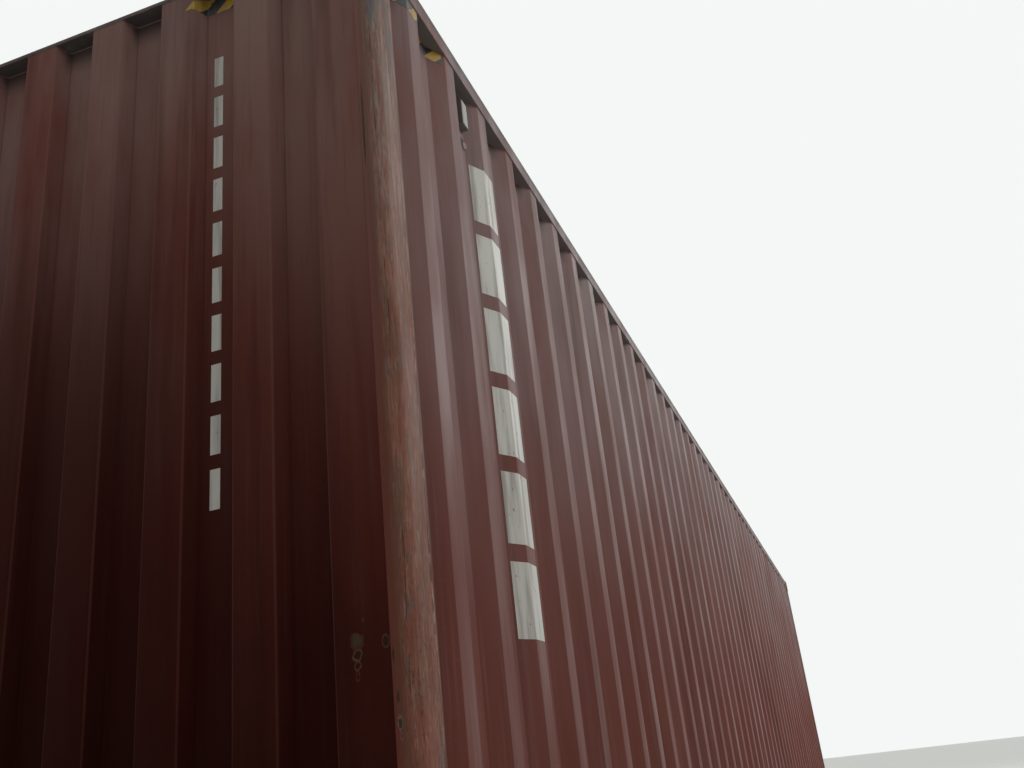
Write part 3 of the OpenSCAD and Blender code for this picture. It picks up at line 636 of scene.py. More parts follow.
    def skin(self, table: NodeTable) -> Skin:
        """Give the weather, the damage, the sheen and the relief of the paint.

        Args:
            table: The material's nodes.

        Returns:
            The skin.
        """
        coats = [*self.weather(table), *self.damage(table)]
        sheen, wave, peel = (table.mask(kind) for kind in (self.SHEEN, self.WAVE, self.ORANGE_PEEL))
        return Skin(coats, sheen, [(wave, self.undulation), (peel, self.PEEL_DEPTH)])


@dataclass(frozen=True)
class FramePaint(OxidePaint):
    """The same coat on the frame's thick sections: flatter, and worn along the edges."""

    soft_edge: float = 3.0
    edge_wear: float = 4.0
    undulation: float = 0.3


@dataclass(frozen=True)
class ScrapedPaint(FramePaint):
    """The same coat on a front corner post, scraped by cargo gear all along its corner.

    The scraped band is pale and dull: long upright fibres of chalked paint, primer and
    thin rust, with open splits, and with broken dark lines along both of its borders.
    """

    RED, BROWN, OLIVE, LIGHT = "#84453a", "#6f4a3c", "#6e5c4a", "#a17c6f"
    BRIGHT, SPLIT = "#ad9186", "#2b1915"
    # fibres of torn paint are 1 mm wide; 4 mm is as fine as the render shows
    FIBRES = (
        (Patches((26, 26, 260), 0.42, 0.62, 0.6), BROWN),
        (Patches((12, 12, 170), 0.5, 0.62, 0.55), OLIVE),
        (Patches((8, 8, 95), 0.5, 0.62, 0.55), RED),
        (Patches((7, 7, 75), 0.52, 0.66, 0.4), LIGHT),
        (Patches((4, 4, 34), 0.5, 0.66, 0.5), BROWN),
        (Patches((4, 4, 50), 0.58, 0.68, 0.4), BRIGHT),
        (Patches((4, 4, 40), 0.63, 0.7, 0.5), SPLIT),
    )
    # the strength of this one is how far the borders wander, in metres
    WANDER = Patches((14, 14, 220), 0.3, 0.7, 0.007)
    SCUFFS = Patches((6, 6, 16), 0.56, 0.66, 0.45)
    HIGH_STAINS = Patches((34, 34, 300), 0.42, 0.56, 0.7)
    STAINS = Patches((14, 14, 70), 0.62, 0.68, 0.6)
    FRONT_SPLITS = Patches((30, 30, 42), 0.44, 0.5)
    BARE_PATCHES = Patches((40, 40, 150), 0.4, 0.6, 0.8)
    SIDE_SPLITS = Patches((40, 40, 110), 0.47, 0.55, 0.85)

    rough: Pair = (0.55, 0.8)
    shine: float = 0.2
    edge_wear: float = 0.0
    base: str = "#92604f"
    weathered: str = "#a09085"
    border: str = "#5f4331"
    stain: str = "#5a6062"
    # where the band and its border start and are full, off the middle along Y and X
    band_across: Pair = (1176.0, 1204.0)
    band_along: Pair = (5995.0, 6001.0)
    border_across: Pair = (1158.0, 1184.0)
    border_strength: float = 0.55
    # middle and half width of the lines along its borders
    side_line: Pair = (1201.0, 1.8)
    front_line: Pair = (5999.0, 4.5)
    bare_line: Pair = (5997.0, 4.5)
    # heights where tones start and are full, and those tones' strengths
    reddened: tuple[Pair, float] = ((1400.0, 700.0), 0.45)
    paled: tuple[Pair, float] = ((1400.0, 2600.0), 0.8)
    stained: Pair = (2200.0, 2650.0)
    # middle height and half the height of what lies on the band
    scuffed: Pair = (975.0, 450.0)
    split: Pair = (1350.0, 900.0)

    @staticmethod
    def line(table: NodeTable, position: Socket, line: Pair) -> Socket:
        """Mask a soft line.

        Args:
            table: The material's nodes.
            position: The position across the line.
            line: Its middle and half its width.

        Returns:
            The mask.
        """
        middle, half = line
        links = {0: position, 1: middle / METRE}
        away = table.add("ShaderNodeMath", {"operation": "SUBTRACT"}, links).outputs[0]
        distance = table.add("ShaderNodeMath", {"operation": "ABSOLUTE"}, {0: away}).outputs[0]
        return table.climb(distance, (half, 0.0))

    def fibres(self, table: NodeTable) -> Socket:
        """Give the colour of the scraped band, as upright fibres of several colours.

        Args:
            table: The material's nodes.

        Returns:
            The colour.
        """
        height = table.place("Z")
        tones = [
            (table.climb(height, *self.reddened), linear(self.RED)),
            (table.climb(height, *self.paled), linear(self.weathered)),
        ]
        return table.lay(linear(self.base), [*tones, *table.stains(self.FIBRES)])

    def damage(self, table: NodeTable) -> list[Coat]:
        """List the coats of damage, with the scraped band over the others.

        Args:
            table: The material's nodes.

        Returns:
            The coats, from the lowest up.
        """
        links = {0: table.point}
        mirrored = table.add("ShaderNodeVectorMath", {"operation": "ABSOLUTE"}, links).outputs[0]
        height, wander = table.place("Z"), table.mask(self.WANDER)
        across, along = (
            table.add(
                "ShaderNodeMath", {"operation": "ADD"}, {0: table.place(axis, mirrored), 1: wander}
            ).outputs[0]
            for axis in "YX"
        )
        near = table.climb(across, self.band_across)
        band = table.overlap(near, table.climb(along, self.band_along))
        scuffed = table.overlap(self.line(table, height, self.scuffed), table.mask(self.SCUFFS))
        high = table.overlap(table.climb(height, self.stained), table.mask(self.HIGH_STAINS))
        links = {0: high, 1: table.mask(self.STAINS)}
        stained = table.add("ShaderNodeMath", {"operation": "MAXIMUM"}, links).outputs[0]
        splits = table.overlap(self.line(table, height, self.split), table.mask(self.FRONT_SPLITS))
        bare = table.overlap(self.line(table, along, self.bare_line), table.mask(self.BARE_PATCHES))
        coats = super().damage(table)
        coats += [
            (table.climb(across, self.border_across, self.border_strength), linear(self.border)),
            (band, self.fibres(table)),
            (table.overlap(stained, band), linear(self.stain)),
            (table.overlap(scuffed, band), linear(self.SPLIT)),
            (bare, linear(self.BRIGHT)),
        ]
        split_front = table.overlap(self.line(table, along, self.front_line), splits)
        side = self.line(table, across, self.side_line)
        split_side = table.overlap(side, table.mask(self.SIDE_SPLITS))
        return [*coats, (split_front, linear(self.SPLIT)), (split_side, linear(self.SPLIT))]


@dataclass(frozen=True)
class CastSteel(Coating):
    """Cast steel, sand-moulded, painted with the frame and worn through on its edges.

    The sand leaves a coarse skin; slings and twistlocks have scraped the edges to dull
    metal and brown rust.
    """

    RUBBING = Patches((35, 35, 35), 0.35, 0.55)
    # dirt and rust
    STAINS = (
        (Patches((90, 90, 140), 0.4, 0.65, 0.6), "#261917"),
        (Patches((30, 30, 70), 0.5, 0.62, 0.8), "#4d2a1a"),
    )
    # grains of moulding sand are 0.5 mm wide; 4 mm is as fine as the render shows
    SAND = Patches((4, 4, 4), 0.2, 0.8, 1.0, 3.0)

    body: str = "#5a2a23"
    shine: float = 0.35
    soft_edge: float = 4.0
    worn: str = "#6f6660"
    rubbed: float = 7.0
    grain: float = 0.35

    def skin(self, table: NodeTable) -> Skin:
        """Give the dirt, the rust, the rubbed edges and the grain of the sand.

        Args:
            table: The material's nodes.

        Returns:
            The skin.
        """
        worn = table.overlap(table.edges(self.rubbed), table.mask(self.RUBBING))
        stains, sand = table.stains(self.STAINS), table.mask(self.SAND)
        return Skin([*stains, (worn, linear(self.worn))], sand, [(sand, self.grain)])


@dataclass(frozen=True)
class TarCoat(Coating):
    """Bitumen underseal brushed and sprayed on the steel under the floor.

    Thick, nearly black and dull, with runs and road dust on it.
    """

    LUMPS = Patches((14, 14, 14), 0.3, 0.7)
    # thin places with paint in sight, and dust
    STAINS = (
        (Patches((260, 260, 90), 0.45, 0.7, 0.7), "#4c251f"),
        (Patches((120, 120, 50), 0.5, 0.75, 0.7), "#5b4a41"),
    )

    body: str = "#2b2320"
    rough: Pair = (0.45, 0.85)
    soft_edge: float = 2.0
    lump: float = 0.8

    def skin(self, table: NodeTable) -> Skin:
        """Give the lumps of the brush, thin places and dust."""
        lumps = table.mask(self.LUMPS)
        return Skin(table.stains(self.STAINS), lumps, [(lumps, self.lump)])


@dataclass(frozen=True)
class MarinePlywood(Coating):
    """Hardwood plywood, hot pressed and oiled, 28 mm thick.

    Its outer veneer shows open dark pores along the grain, which runs along X, and
    slow changes of tone from leaf to leaf.
    """

    # pores are 0.3 mm wide in the wood; 2 mm is as fine as the render shows
    PORES = Patches((60, 2, 2), 0.58, 0.7, 0.8, 2.0)
    # late wood and scuffs
    STAINS = (
        (Patches((900, 45, 20), 0.4, 0.65, 0.8), "#4b2f1e"),
        (Patches((300, 300, 300), 0.5, 0.7, 0.5), "#8b7259"),
    )

    body: str = "#6f4a30"
    soft_edge: float = 1.5
    pore: str = "#2d1c13"
    pore_height: float = -0.2

    def skin(self, table: NodeTable) -> Skin:
        """Give the late wood, the pores and the scuffs."""
        pores, (late, scuffs) = table.mask(self.PORES), table.stains(self.STAINS)
        return Skin([late, (pores, linear(self.pore)), scuffs], pores, [(pores, self.pore_height)])


@dataclass(frozen=True)
class DoorRubber(Coating):
    """EPDM rubber, extruded, for the door gaskets.

    Black and soft-looking, greyed by weather, with the fine draw lines of the die.
    """

    BLOOM = Patches((60, 60, 160), 0.4, 0.75, 0.6)
    # die lines are 0.2 mm apart; 3 mm is as fine as the render shows
    DIE_LINES = Patches((3, 3, 400), 0.3, 0.7, 1.0, 1.0)

    body: str = "#191817"
    bloom: str = "#47423e"
    line_depth: float = 0.15

    def skin(self, table: NodeTable) -> Skin:
        """Give the grey bloom and the draw lines."""
        bloom, lines = table.mask(self.BLOOM), table.mask(self.DIE_LINES)
        return Skin([(bloom, linear(self.bloom))], bloom, [(lines, self.line_depth)])


@dataclass(frozen=True)
class ZincedSteel(Coating):
    """Hot-dip galvanised steel, for pins, bolts and rivets.

    Dull spangled grey metal with white bloom, and brown where a thread has rubbed.
    """

    # white spangle and rust
    STAINS = (
        (Patches((7, 7, 7), 0.3, 0.7, 0.7, 1.0), "#b4b5b1"),
        (Patches((18, 18, 26), 0.55, 0.68, 0.85), "#5c3a26"),
    )
    # how much rust hides the metal and how much leaves it whole, and how metallic that is
    METAL = ((0.8, 0.0), 0.85)

    body: str = "#8e8f8d"
    rough: Pair = (0.38, 0.6)
    soft_edge: float = 0.8
    rust_height: float = 0.2

    def skin(self, table: NodeTable) -> Skin:
        """Give the spangle and the rust, which hides the metal.

        Args:
            table: The material's nodes.

        Returns:
            The skin.
        """
        coats = table.stains(self.STAINS)
        spangle, rust = (mask for mask, _ in coats)
        rest = {"Metallic": table.rise(rust, *self.METAL)}
        return Skin(coats, spangle, [(rust, self.rust_height)], rest)


@dataclass(frozen=True)
class VinylTape(Coating):
    """Cast vinyl film, cut in strips and stuck on the paint.

    Smooth, a little dusty, yellowed and scuffed through at the edges. A second ink makes
    slanting stripes.
    """

    # dust, and holes with paint in sight
    STAINS = (
        (Patches((24, 24, 320), 0.42, 0.75, 0.55), "#5f4a43"),
        (Patches((10, 10, 24), 0.68, 0.72), "#6a2f27"),
    )
    # how soft the edge of a stripe is, by the pitch
    BLUR = 0.02

    rough: Pair = (0.4, 0.7)
    shine: float = 0.35
    ink: str | None = None
    pitch: float = 100.0
    share: float = 0.46
    dust_height: float = 0.05

    def stripes(self, table: NodeTable, ink: str) -> Coat:
        """Print the stripes of the second ink.

        Args:
            table: The material's nodes.
            ink: Its colour.

        Returns:
            Their coat.
        """
        run = table.add("ShaderNodeAttribute", {"attribute_name": FoldedSheet.RUN}).outputs["Fac"]
        slant = table.add("ShaderNodeMath", {"operation": "SUBTRACT"}, {0: run, 1: table.place("Z")})
        links = {0: slant.outputs[0], 1: METRE / self.pitch}
        turns = table.add("ShaderNodeMath", {"operation": "MULTIPLY"}, links).outputs[0]
        phase = table.add("ShaderNodeMath", {"operation": "FRACT"}, {0: turns}).outputs[0]
        first = table.rise(phase, (self.share - self.BLUR, self.share))
        last = table.rise(phase, (1.0, 1.0 - self.BLUR))
        both = table.add("ShaderNodeMath", {"operation": "MINIMUM"}, {0: first, 1: last})
        return both.outputs[0], linear(ink)

    def skin(self, table: NodeTable) -> Skin:
        """Give the stripes, the dust and the holes.

        Args:
            table: The material's nodes.

        Returns:
            The skin.
        """
        printed = [self.stripes(table, self.ink)] if self.ink else []
        dust, holes = table.stains(self.STAINS)
        return Skin([*printed, dust, holes], dust[0], [(dust[0], self.dust_height)])


class Finish(Enum):
    """The container's finishes, each with the record's slot that it belongs to."""

    CASTING = ("casting_paint", CastSteel("cast_steel_painted"))
    FRAME = (
        "frame_paint",
        FramePaint(
            "alkyd_paint_on_frame_steel", chalk="#85777a", chalk_strength=0.9, ledge=(2856.0, 2876.0)
        ),
    )
    SILL = (
        "frame_paint",
        FramePaint("alkyd_paint_on_front_sill", darkenings=(Film((1300.0, 0.0), 0.7),)),
    )
    POST = (
        "frame_paint",
        ScrapedPaint(
            "alkyd_paint_scraped_on_posts",
            marks=(
                Mark.on_end((-1167.0, 2243.0), (3.2, 125.0), "#43322e", "#271a18", 0.3),
                Mark.on_end((-1165.0, 963.0), (2.5, 16.0), "#3a2420", "#1d1312"),
                Mark.on_end((-1170.0, 882.0), (3.5, 12.0), "#3a2420", "#1d1312"),
                Mark.on_end((-1172.0, 833.0), (6.0, 15.0), "#7d6a62", "#20262a"),
                Mark.on_end((-1174.0, 808.0), (4.0, 7.0), "#8a6b5f", "#5b3a30"),
            ),
        ),
    )
    SIDE = (
        "wall_paint",
        OxidePaint(
            "alkyd_paint_on_side_sheet",
            body="#6d362c",
            chalk="#8b7977",
            chalk_strength=0.9,
            # painted shade in the folds under the top rail
            painted_shade_top=2830.0,
            marks=(
                # a pale spot in a dark patch, below the narrow front ventilator
                Mark((-5386.0, -1176.0, 2636.0), (17.0, 60.0, 24.0), "#463835", "#2f2523", 0.3),
                Mark((-5371.0, -1176.0, 2640.0), (9.0, 60.0, 13.0), "#a3938f", "#a3938f", 0.3),
            ),
        ),
    )
    FRONT = (
        "wall_paint",
        OxidePaint(
            "alkyd_paint_on_front_sheet",
            chalk="#957d77",
            grime="#240d09",
            chalk_strength=0.85,
            grime_top=1500.0,
            # painted shade: the wall is darker towards the bottom, and more so away from the left corner
            # post
            darkenings=(Film((2400.0, 200.0), 0.95), Film((2700.0, 1500.0), 0.72, (-1300.0, -300.0))),
            # painted shade with dirt deep in the low folds
            silt=0.55,
            shine=0.03,
            # painted shade in the folds under the top rail
            painted_shade_top=2878.0,
            marks=(
                Mark.on_end((-1085.0, 1000.0), (15.0, 18.0), "#4f3228", "#4b4034"),
                Mark.on_end((-1085.0, 972.0), (11.0, 12.0), "#5f4636", "#3b2018"),
                Mark.on_end((-1085.0, 952.0), (8.0, 11.0), "#5f4032", "#3b2018"),
                Mark.on_end((-1084.0, 932.0), (5.0, 11.0), "#5f3325"),
                Mark.on_end((-1149.0, 992.0), (8.0, 13.0), "#5a3c2f", "#36231b", 0.2),
                Mark.on_end((-1101.0, 1040.0), (3.5, 4.0), "#5a3b34", "#4b2f27"),
            ),
        ),
    )
    ROOF = (
        "roof_paint",
        OxidePaint("alkyd_paint_on_roof_sheet", body="#7c463b", soft_edge=6.0, chalk_strength=0.5),
    )
    DOOR = ("door_paint", OxidePaint("alkyd_paint_on_door_sheet", soft_edge=3.0, edge_wear=3.0))
    GEAR = (
        "gear_paint",
        OxidePaint(
            "alkyd_paint_on_locking_gear",
            soft_edge=1.5,
            edge_wear=3.0,
            chip=Spots(30.0, 4.0, 0.12),
            undulation=0.1,
        ),
    )
    BASE = ("base_paint", TarCoat("bitumen_on_floor_steel"))
    FLOOR = ("plywood", MarinePlywood("oiled_marine_plywood"))
    RUBBER = ("gasket_rubber", DoorRubber("epdm_door_rubber"))
    ZINC = ("pin_steel", ZincedSteel("galvanised_fasteners"))
    VENT = (
        "vent_plastic",
        OxidePaint(
            "painted_abs_ventilator", body="#5a2a23", soft_edge=2.0, chip=Spots(60.0, 3.0, 0.02)
        ),
    )
    COVER = (
        "vent_plastic",
        OxidePaint(
            "moulded_abs_ventilator_cover",
            body="#564d4b",
            faded="#5d5452",
            chalk="#665d5a",
            streak="#3b3230",
            wash="#6b615d",
            chip=Spots(60.0, 3.0, 0.02),
            undulation=0.1,
        ),
    )
    FACE = ("vent_plastic", VinylTape("white_vinyl_on_ventilator", "#9b9c96"))
    WHITE = ("wall_paint", VinylTape("white_vinyl_tape", "#d0cdc5"))
    STRIPES = (
        "wall_paint",
        VinylTape("yellow_and_black_vinyl_tape", "#b08a32", ink="#23292b"),
    )

    @property
    def slot(self) -> str:
        """The record's material slot."""
        return self.value[0]

    @property
    def material(self) -> bpy.types.Material:
        """The finish's material, made when first asked for."""
        coating = self.value[1]
        return bpy.data.materials.get(coating.name) or coating.build()


# Meshes


def add_object(name: str, data: bpy.types.ID) -> bpy.types.Object:
    """Add an object to the scene.

    Args:
        name: Its name.
        data: Its mesh, camera or light.

    Returns:
        The new object.
    """
    made = bpy.data.objects.new(name, data)
    bpy.context.scene.collection.objects.link(made)
    return made


def add_piece(
    name: str,
    points: Sequence[Point],
    faces: Sequence[Sequence[int]],
    finish: Finish,
    crease: float = 35.0,
) -> bpy.types.Object:
    """Make a piece from its points and faces and let it ride on the container.

    Args:
        name: The piece's name.
        points: Its corners in mm.
        faces: Corner numbers of each face.
        finish: The finish it gets.
        crease: Angle in degrees from which an edge stays sharp.

    Returns:
        The new object.
    """
    mesh = bpy.data.meshes.new(name)
    mesh.from_pydata([[c / METRE for c in p] for p in points], [], faces)
    shaped = bmesh.new()
    shaped.from_mesh(mesh)
    bmesh.ops.recalc_face_normals(shaped, faces=shaped.faces)
    shaped.to_mesh(mesh)
    shaped.free()
    mesh.shade_smooth()
    mesh.set_sharp_from_angle(angle=math.radians(crease))
    mesh.materials.append(finish.material)
    piece = add_object(name, mesh)
    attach(piece, BODY)
    LOG.info("%s: %d faces", name, len(mesh.polygons))
    return piece


class Bend(NamedTuple):
    """A point of a folded sheet's middle line, its outward normal, and how it bends there."""

    u: float
    v: float
    nu: float
    nv: float
    turn: float


@dataclass(frozen=True)
class Folds:
    """Equal folds pressed in a sheet, as the line of its outer face.

    u runs along the sheet from first to last, and v inwards from its outermost plane:
    near between the folds and far on their flats.
    """

    first: float
    last: float
    start: float = 0.0
    pitch: float = 0.0
    slope: float = 0.0
    flat: float = 0.0
    near: float = 0.0
    far: float = 0.0
    count: int = 0

    def line(self) -> list[Pair]:
        """Give the corners of the outer face.

        Returns:
            Their u and v.
        """
        corners = [(self.first, self.near)]
        for i in range(self.count):
            u = self.start + i * self.pitch
            corners += [
                (u, self.near),
                (u + self.slope, self.far),
                (u + self.slope + self.flat, self.far),
                (u + 2 * self.slope + self.flat, self.near),
            ]
        return [*corners, (self.last, self.near)]


class FoldedSheet:
    """A pressed sheet with rounded bends, drawn out straight across its folds."""

    BEND, RUN, DEPTH = "bend", "run", "depth"
    # faces round a bend
    STEPS = 4
    # how many ripples put the sheet out of true, and how many radians a metre they turn
    RIPPLES, ALONG, ACROSS = 6, (2, 9), (1, 5)
    # a tape's thickness, its rows of faces, and its height at the tip of a slanted end
    TAPE, TAPE_ROWS, TIP = 0.5, 4, 1.0
    # the least depth of a fold and length of a step that count
    SHALLOW, TINY = 1.0, 1e-6

    def __init__(
        self,
        folds: Folds,
        thickness: float,
        radius: float,
        place: Callable[[float, float, float], Point],
        wave: float = 0.7,
        cuts: Sequence[float] = (),
    ) -> None:
        """Round the bends of the sheet's middle line.

        Args:
            folds: The folds.
            thickness: The sheet's thickness.
            radius: Radius of the bends to the middle of the sheet.
            place: Turns u, v and the position across the folds into X, Y and Z.
            wave: How far the sheet is out of true.
            cuts: Extra values of u at which the sheet has a line of points.
        """
        self.half = thickness / 2
        self.place = place
        self.wave = wave
        self.bends = self.rounded(self.shifted(folds.line(), self.half), radius)
        for cut in cuts:
            self.bends = self.cut(self.bends, cut)
        self.stations = [bend.u for bend in self.bends]
        steps = (math.dist(a[:2], b[:2]) for a, b in itertools.pairwise(self.bends))
        self.lengths = list(itertools.accumulate(steps, initial=0.0))
        self.count_from(0.0, 0.0, 1)
        luck = random.Random(SEED)
        spans = ((*self.ALONG, METRE), (*self.ACROSS, METRE), (0, math.tau, 1))
        self.ripples = [
            tuple(luck.uniform(low, high) / unit for low, high, unit in spans)
            for _ in range(self.RIPPLES)
        ]

    def count_from(self, zero: float, height: float, direction: int) -> None:
        """Count the run from u at zero, where it is the height; it falls if direction is -1."""
        self.zero, self.zero_height, self.direction = zero, height, direction

    @staticmethod
    def normal(start: Pair, end: Pair) -> Pair:
        """Give the outward normal of a stretch of the line.

        Args:
            start: Where the stretch starts.
            end: Where it ends.

        Returns:
            The normal's u and v.
        """
        du, dv = end[0] - start[0], end[1] - start[1]
        length = math.hypot(du, dv)
        return dv / length, -du / length

    @classmethod
    def shifted(cls, line: Sequence[Pair], inward: float) -> list[Pair]:
        """Move a line inwards.

        Args:
            line: The line.
            inward: How far.

        Returns:
            The moved line.
        """
        moved = []
        for i, (u, v) in enumerate(line):
            before = cls.normal(line[max(i - 1, 0)], line[max(i, 1)])
            after = cls.normal(line[min(i, len(line) - 2)], line[min(i + 1, len(line) - 1)])
            mu, mv = before[0] + after[0], before[1] + after[1]
            scale = 2 * inward / (mu * mu + mv * mv)
            moved.append((u - mu * scale, v - mv * scale))
        return moved

    @classmethod
    def rounded(cls, line: Sequence[Pair], radius: float) -> list[Bend]:
        """Round every corner of a line.

        Args:
            line: The corners.
            radius: Radius of the bends.

        Returns:
            Points along the rounded line, with a turn above 0 on outward bends.
        """
        bends = [Bend(*line[0], *cls.normal(line[0], line[1]), 0.0)]
        for before, corner, after in zip(line, line[1:], line[2:]):
            n1, n2 = cls.normal(before, corner), cls.normal(corner, after)
            angle = math.atan2(n1[0] * n2[1] - n1[1] * n2[0], n1[0] * n2[0] + n1[1] * n2[1])
            sign = 1.0 if angle > 0 else -1.0
            back = radius * math.tan(abs(angle) / 2)
            start = (corner[0] + n1[1] * back, corner[1] - n1[0] * back)
            centre = (start[0] - sign * n1[0] * radius, start[1] - sign * n1[1] * radius)
            for i in range(cls.STEPS + 1):
                part = angle * i / cls.STEPS
                nu = n1[0] * math.cos(part) - n1[1] * math.sin(part)
                nv = n1[0] * math.sin(part) + n1[1] * math.cos(part)
                turn = sign * math.sin(math.pi * i / cls.STEPS)
                u, v = centre[0] + sign * nu * radius, centre[1] + sign * nv * radius
                bends.append(Bend(u, v, nu, nv, turn))
        return [*bends, Bend(*line[-1], *cls.normal(line[-2], line[-1]), 0.0)]

    @staticmethod
    def cut(bends: Sequence[Bend], u: float) -> list[Bend]:
        """Add a point to a line.

        Args:
            bends: The line.
            u: Where.

        Returns:
            The line with the point.
        """
        for i, (a, b) in enumerate(itertools.pairwise(bends)):
            if a.u < u < b.u:
                t = (u - a.u) / (b.u - a.u)
                extra = Bend(*(p + (q - p) * t for p, q in zip(a, b)))
                return [*bends[: i + 1], extra, *bends[i + 1 :]]
        return list(bends)

    def stick(
        self,
        name: str,
        finish: Finish,
        span: Pair,
        heights: Pair,
        slanted: float | None = None,
    ) -> None:
        """Stick a tape on the sheet.

        Args:
            name: The piece's name.
            finish: Its finish.
            span: Where it starts and ends along u.
            heights: Its lower and upper edge.
            slanted: The end, as a value of u, that is cut at 45 degrees.
        """
        (low, high), (bottom, top) = sorted(span), heights

        def upper(u: float) -> float:
            """Give the upper edge of the tape, lower at its slanted end."""
            away = math.inf if slanted is None else abs(self.length_to(u) - self.length_to(slanted))
            return min(top, bottom + self.TIP + away)

        line = self.cut(self.cut(self.bends, low), high)
        line = [bend for bend in line if low - self.TINY <= bend.u <= high + self.TINY]
        if slanted is not None:
            inward = 1 if slanted == low else -1
            line = self.cut(line, slanted + inward * (top - bottom))
        layer = (self.half + self.TAPE, self.half)
        self.shell(name, finish, line, (lambda u: bottom, upper), self.TAPE_ROWS, layer)

    def lift(self, u: float, w: float) -> float:
        """Give how far the sheet stands out of true at u along it and w across its folds."""
        total = sum(math.sin(u * a + w * b + phase) for a, b, phase in self.ripples)
        return self.wave * total / len(self.ripples)

    def at(self, bend: Bend, w: float, out: float) -> Point:
        """Give the place at w across the folds, so far out from a point of the middle line."""
        out += self.lift(bend.u, w)
        return self.place(bend.u + bend.nu * out, bend.v + bend.nv * out, w)

    def build(
        self, name: str, finish: Finish, low: float, top: Callable[[float], float], rows: int
    ) -> bpy.types.Object:
        """Make the sheet in rows of faces, from low to the top for each u across the folds."""
        return self.shell(name, finish, self.bends, (lambda u: low, top), rows, (self.half, -self.half))

    def shell(
        self,
        name: str,
        finish: Finish,
        line: Sequence[Bend],
        ends: tuple[Callable[[float], float], Callable[[float], float]],
        rows: int,
        layer: Pair,
    ) -> bpy.types.Object:
        """Make a closed layer that follows the sheet.

        Args:
            name: The piece's name.
            finish: Its finish.
            line: The part of the line that it covers.
            ends: Its lower and its upper end for each value of u.
            rows: Number of rows of faces.
            layer: Heights of its outer and inner face above the sheet's middle.

        Returns:
            The piece.
        """
        low, top = ends
        points: list[Point] = []
        for out in layer:
            for bend in line:
                start, end = low(bend.u), top(bend.u)
                levels = [start + (end - start) * j / rows for j in range(rows + 1)]
                points += [self.at(bend, level, out) for level in levels]
        tall, back = rows + 1, len(line) * (rows + 1)
        faces: list[tuple[int, ...]] = []
        for foot in range(0, back - tall, tall):
            for a in range(foot, foot + rows):
                b, c = a + tall, a + back
                faces += [(a, a + 1, b + 1, b), (c, c + tall, c + tall + 1, c + 1)]
            faces += [(a, a + tall, back + a + tall, back + a) for a in (foot, foot + rows)]
        for foot in (0, back - tall):
            faces += [(a, a + 1, back + a + 1, back + a) for a in range(foot, foot + rows)]
        piece = add_piece(name, points, faces, finish)
        deepest = max(self.SHALLOW, *(bend.v for bend in self.bends))
        kept = {
            self.BEND: [bend.turn for bend in line],
            self.RUN: [self.run(bend.u) / METRE for bend in line],
            self.DEPTH: [bend.v / deepest for bend in line],
        }
        for key, values in kept.items():
            spread = [value for value in values for _ in range(tall)] * 2
            piece.data.attributes.new(key, "FLOAT", "POINT").data.foreach_set("value", spread)
        return piece

    def run(self, u: float) -> float:
        """Give the run at one value of u: a length along the sheet, round its folds."""
        return self.direction * (self.length_to(u) - self.length_to(self.zero)) + self.zero_height

    def length_to(self, u: float) -> float:
        """Give the length along the sheet from its start.

        Args:
            u: Where the length ends.

        Returns:
            The length.
        """
        i = min(max(bisect.bisect_left(self.stations, u), 1), len(self.stations) - 1)
        span = max(self.stations[i] - self.stations[i - 1], self.TINY)
        part = (u - self.stations[i - 1]) / span
        return self.lengths[i - 1] + part * (self.lengths[i] - self.lengths[i - 1])


class WeldSeams:
    """Weld beads, gathered into one piece: half-round, with the ripple of the torch."""

    # length of a ripple, corners of a bead's section, and its height by half its width
    STEP, SIDES, CROWN = 9.0, 5, 0.6
    CREASE = 80.0

    def __init__(self, radius: float = 3.2, ripple: float = 0.16) -> None:
        """Start with no beads.

        Args:
            radius: Half the width of a bead.
            ripple: How much that width changes, by the radius.
        """
        self.radius, self.ripple = radius, ripple
        self.points: list[Point] = []
        self.faces: list[tuple[int, ...]] = []
        self.luck = random.Random(SEED)

    def run(self, path: Sequence[Point], outward: Point, closed: bool = False) -> None:
        """Lay a bead along a path.

        Args:
            path: The corners of the path.
            outward: The direction in which the bead stands proud.
            closed: Whether the path returns to its start.
        """
        corners = [Vector(p) for p in path]
        if closed:
            corners.append(corners[0])
        stops: list[Vector] = []
        for a, b in itertools.pairwise(corners):
            count = max(1, round((b - a).length / self.STEP))
            stops += [a.lerp(b, i / count) for i in range(count)]
        stops.append(corners[-1])
        up, sides, start = Vector(outward).normalized(), self.SIDES, len(self.points)
        for i, stop in enumerate(stops):
            along = stops[min(i + 1, len(stops) - 1)] - stops[max(i - 1, 0)]
            across = along.cross(up).normalized()
            size = self.radius * (1 + self.luck.uniform(-self.ripple, self.ripple))
            for j in range(sides):
                angle = math.pi * j / (sides - 1)
                spot = stop + across * math.cos(angle) * size + up * math.sin(angle) * size * self.CROWN
                self.points.append(tuple(spot))
        end = start + (len(stops) - 1) * sides
        for foot in range(start, end, sides):
            self.faces += [(a, a + 1, a + 1 + sides, a + sides) for a in range(foot, foot + sides - 1)]
            self.faces.append((foot + sides - 1, foot, foot + sides, foot + 2 * sides - 1))
        self.faces += [tuple(range(start, start + sides)), tuple(range(end, end + sides))]

    def build(self, name: str, finish: Finish) -> None:
        """Make the piece that holds all the beads."""
        add_piece(name, self.points, self.faces, finish, self.CREASE)


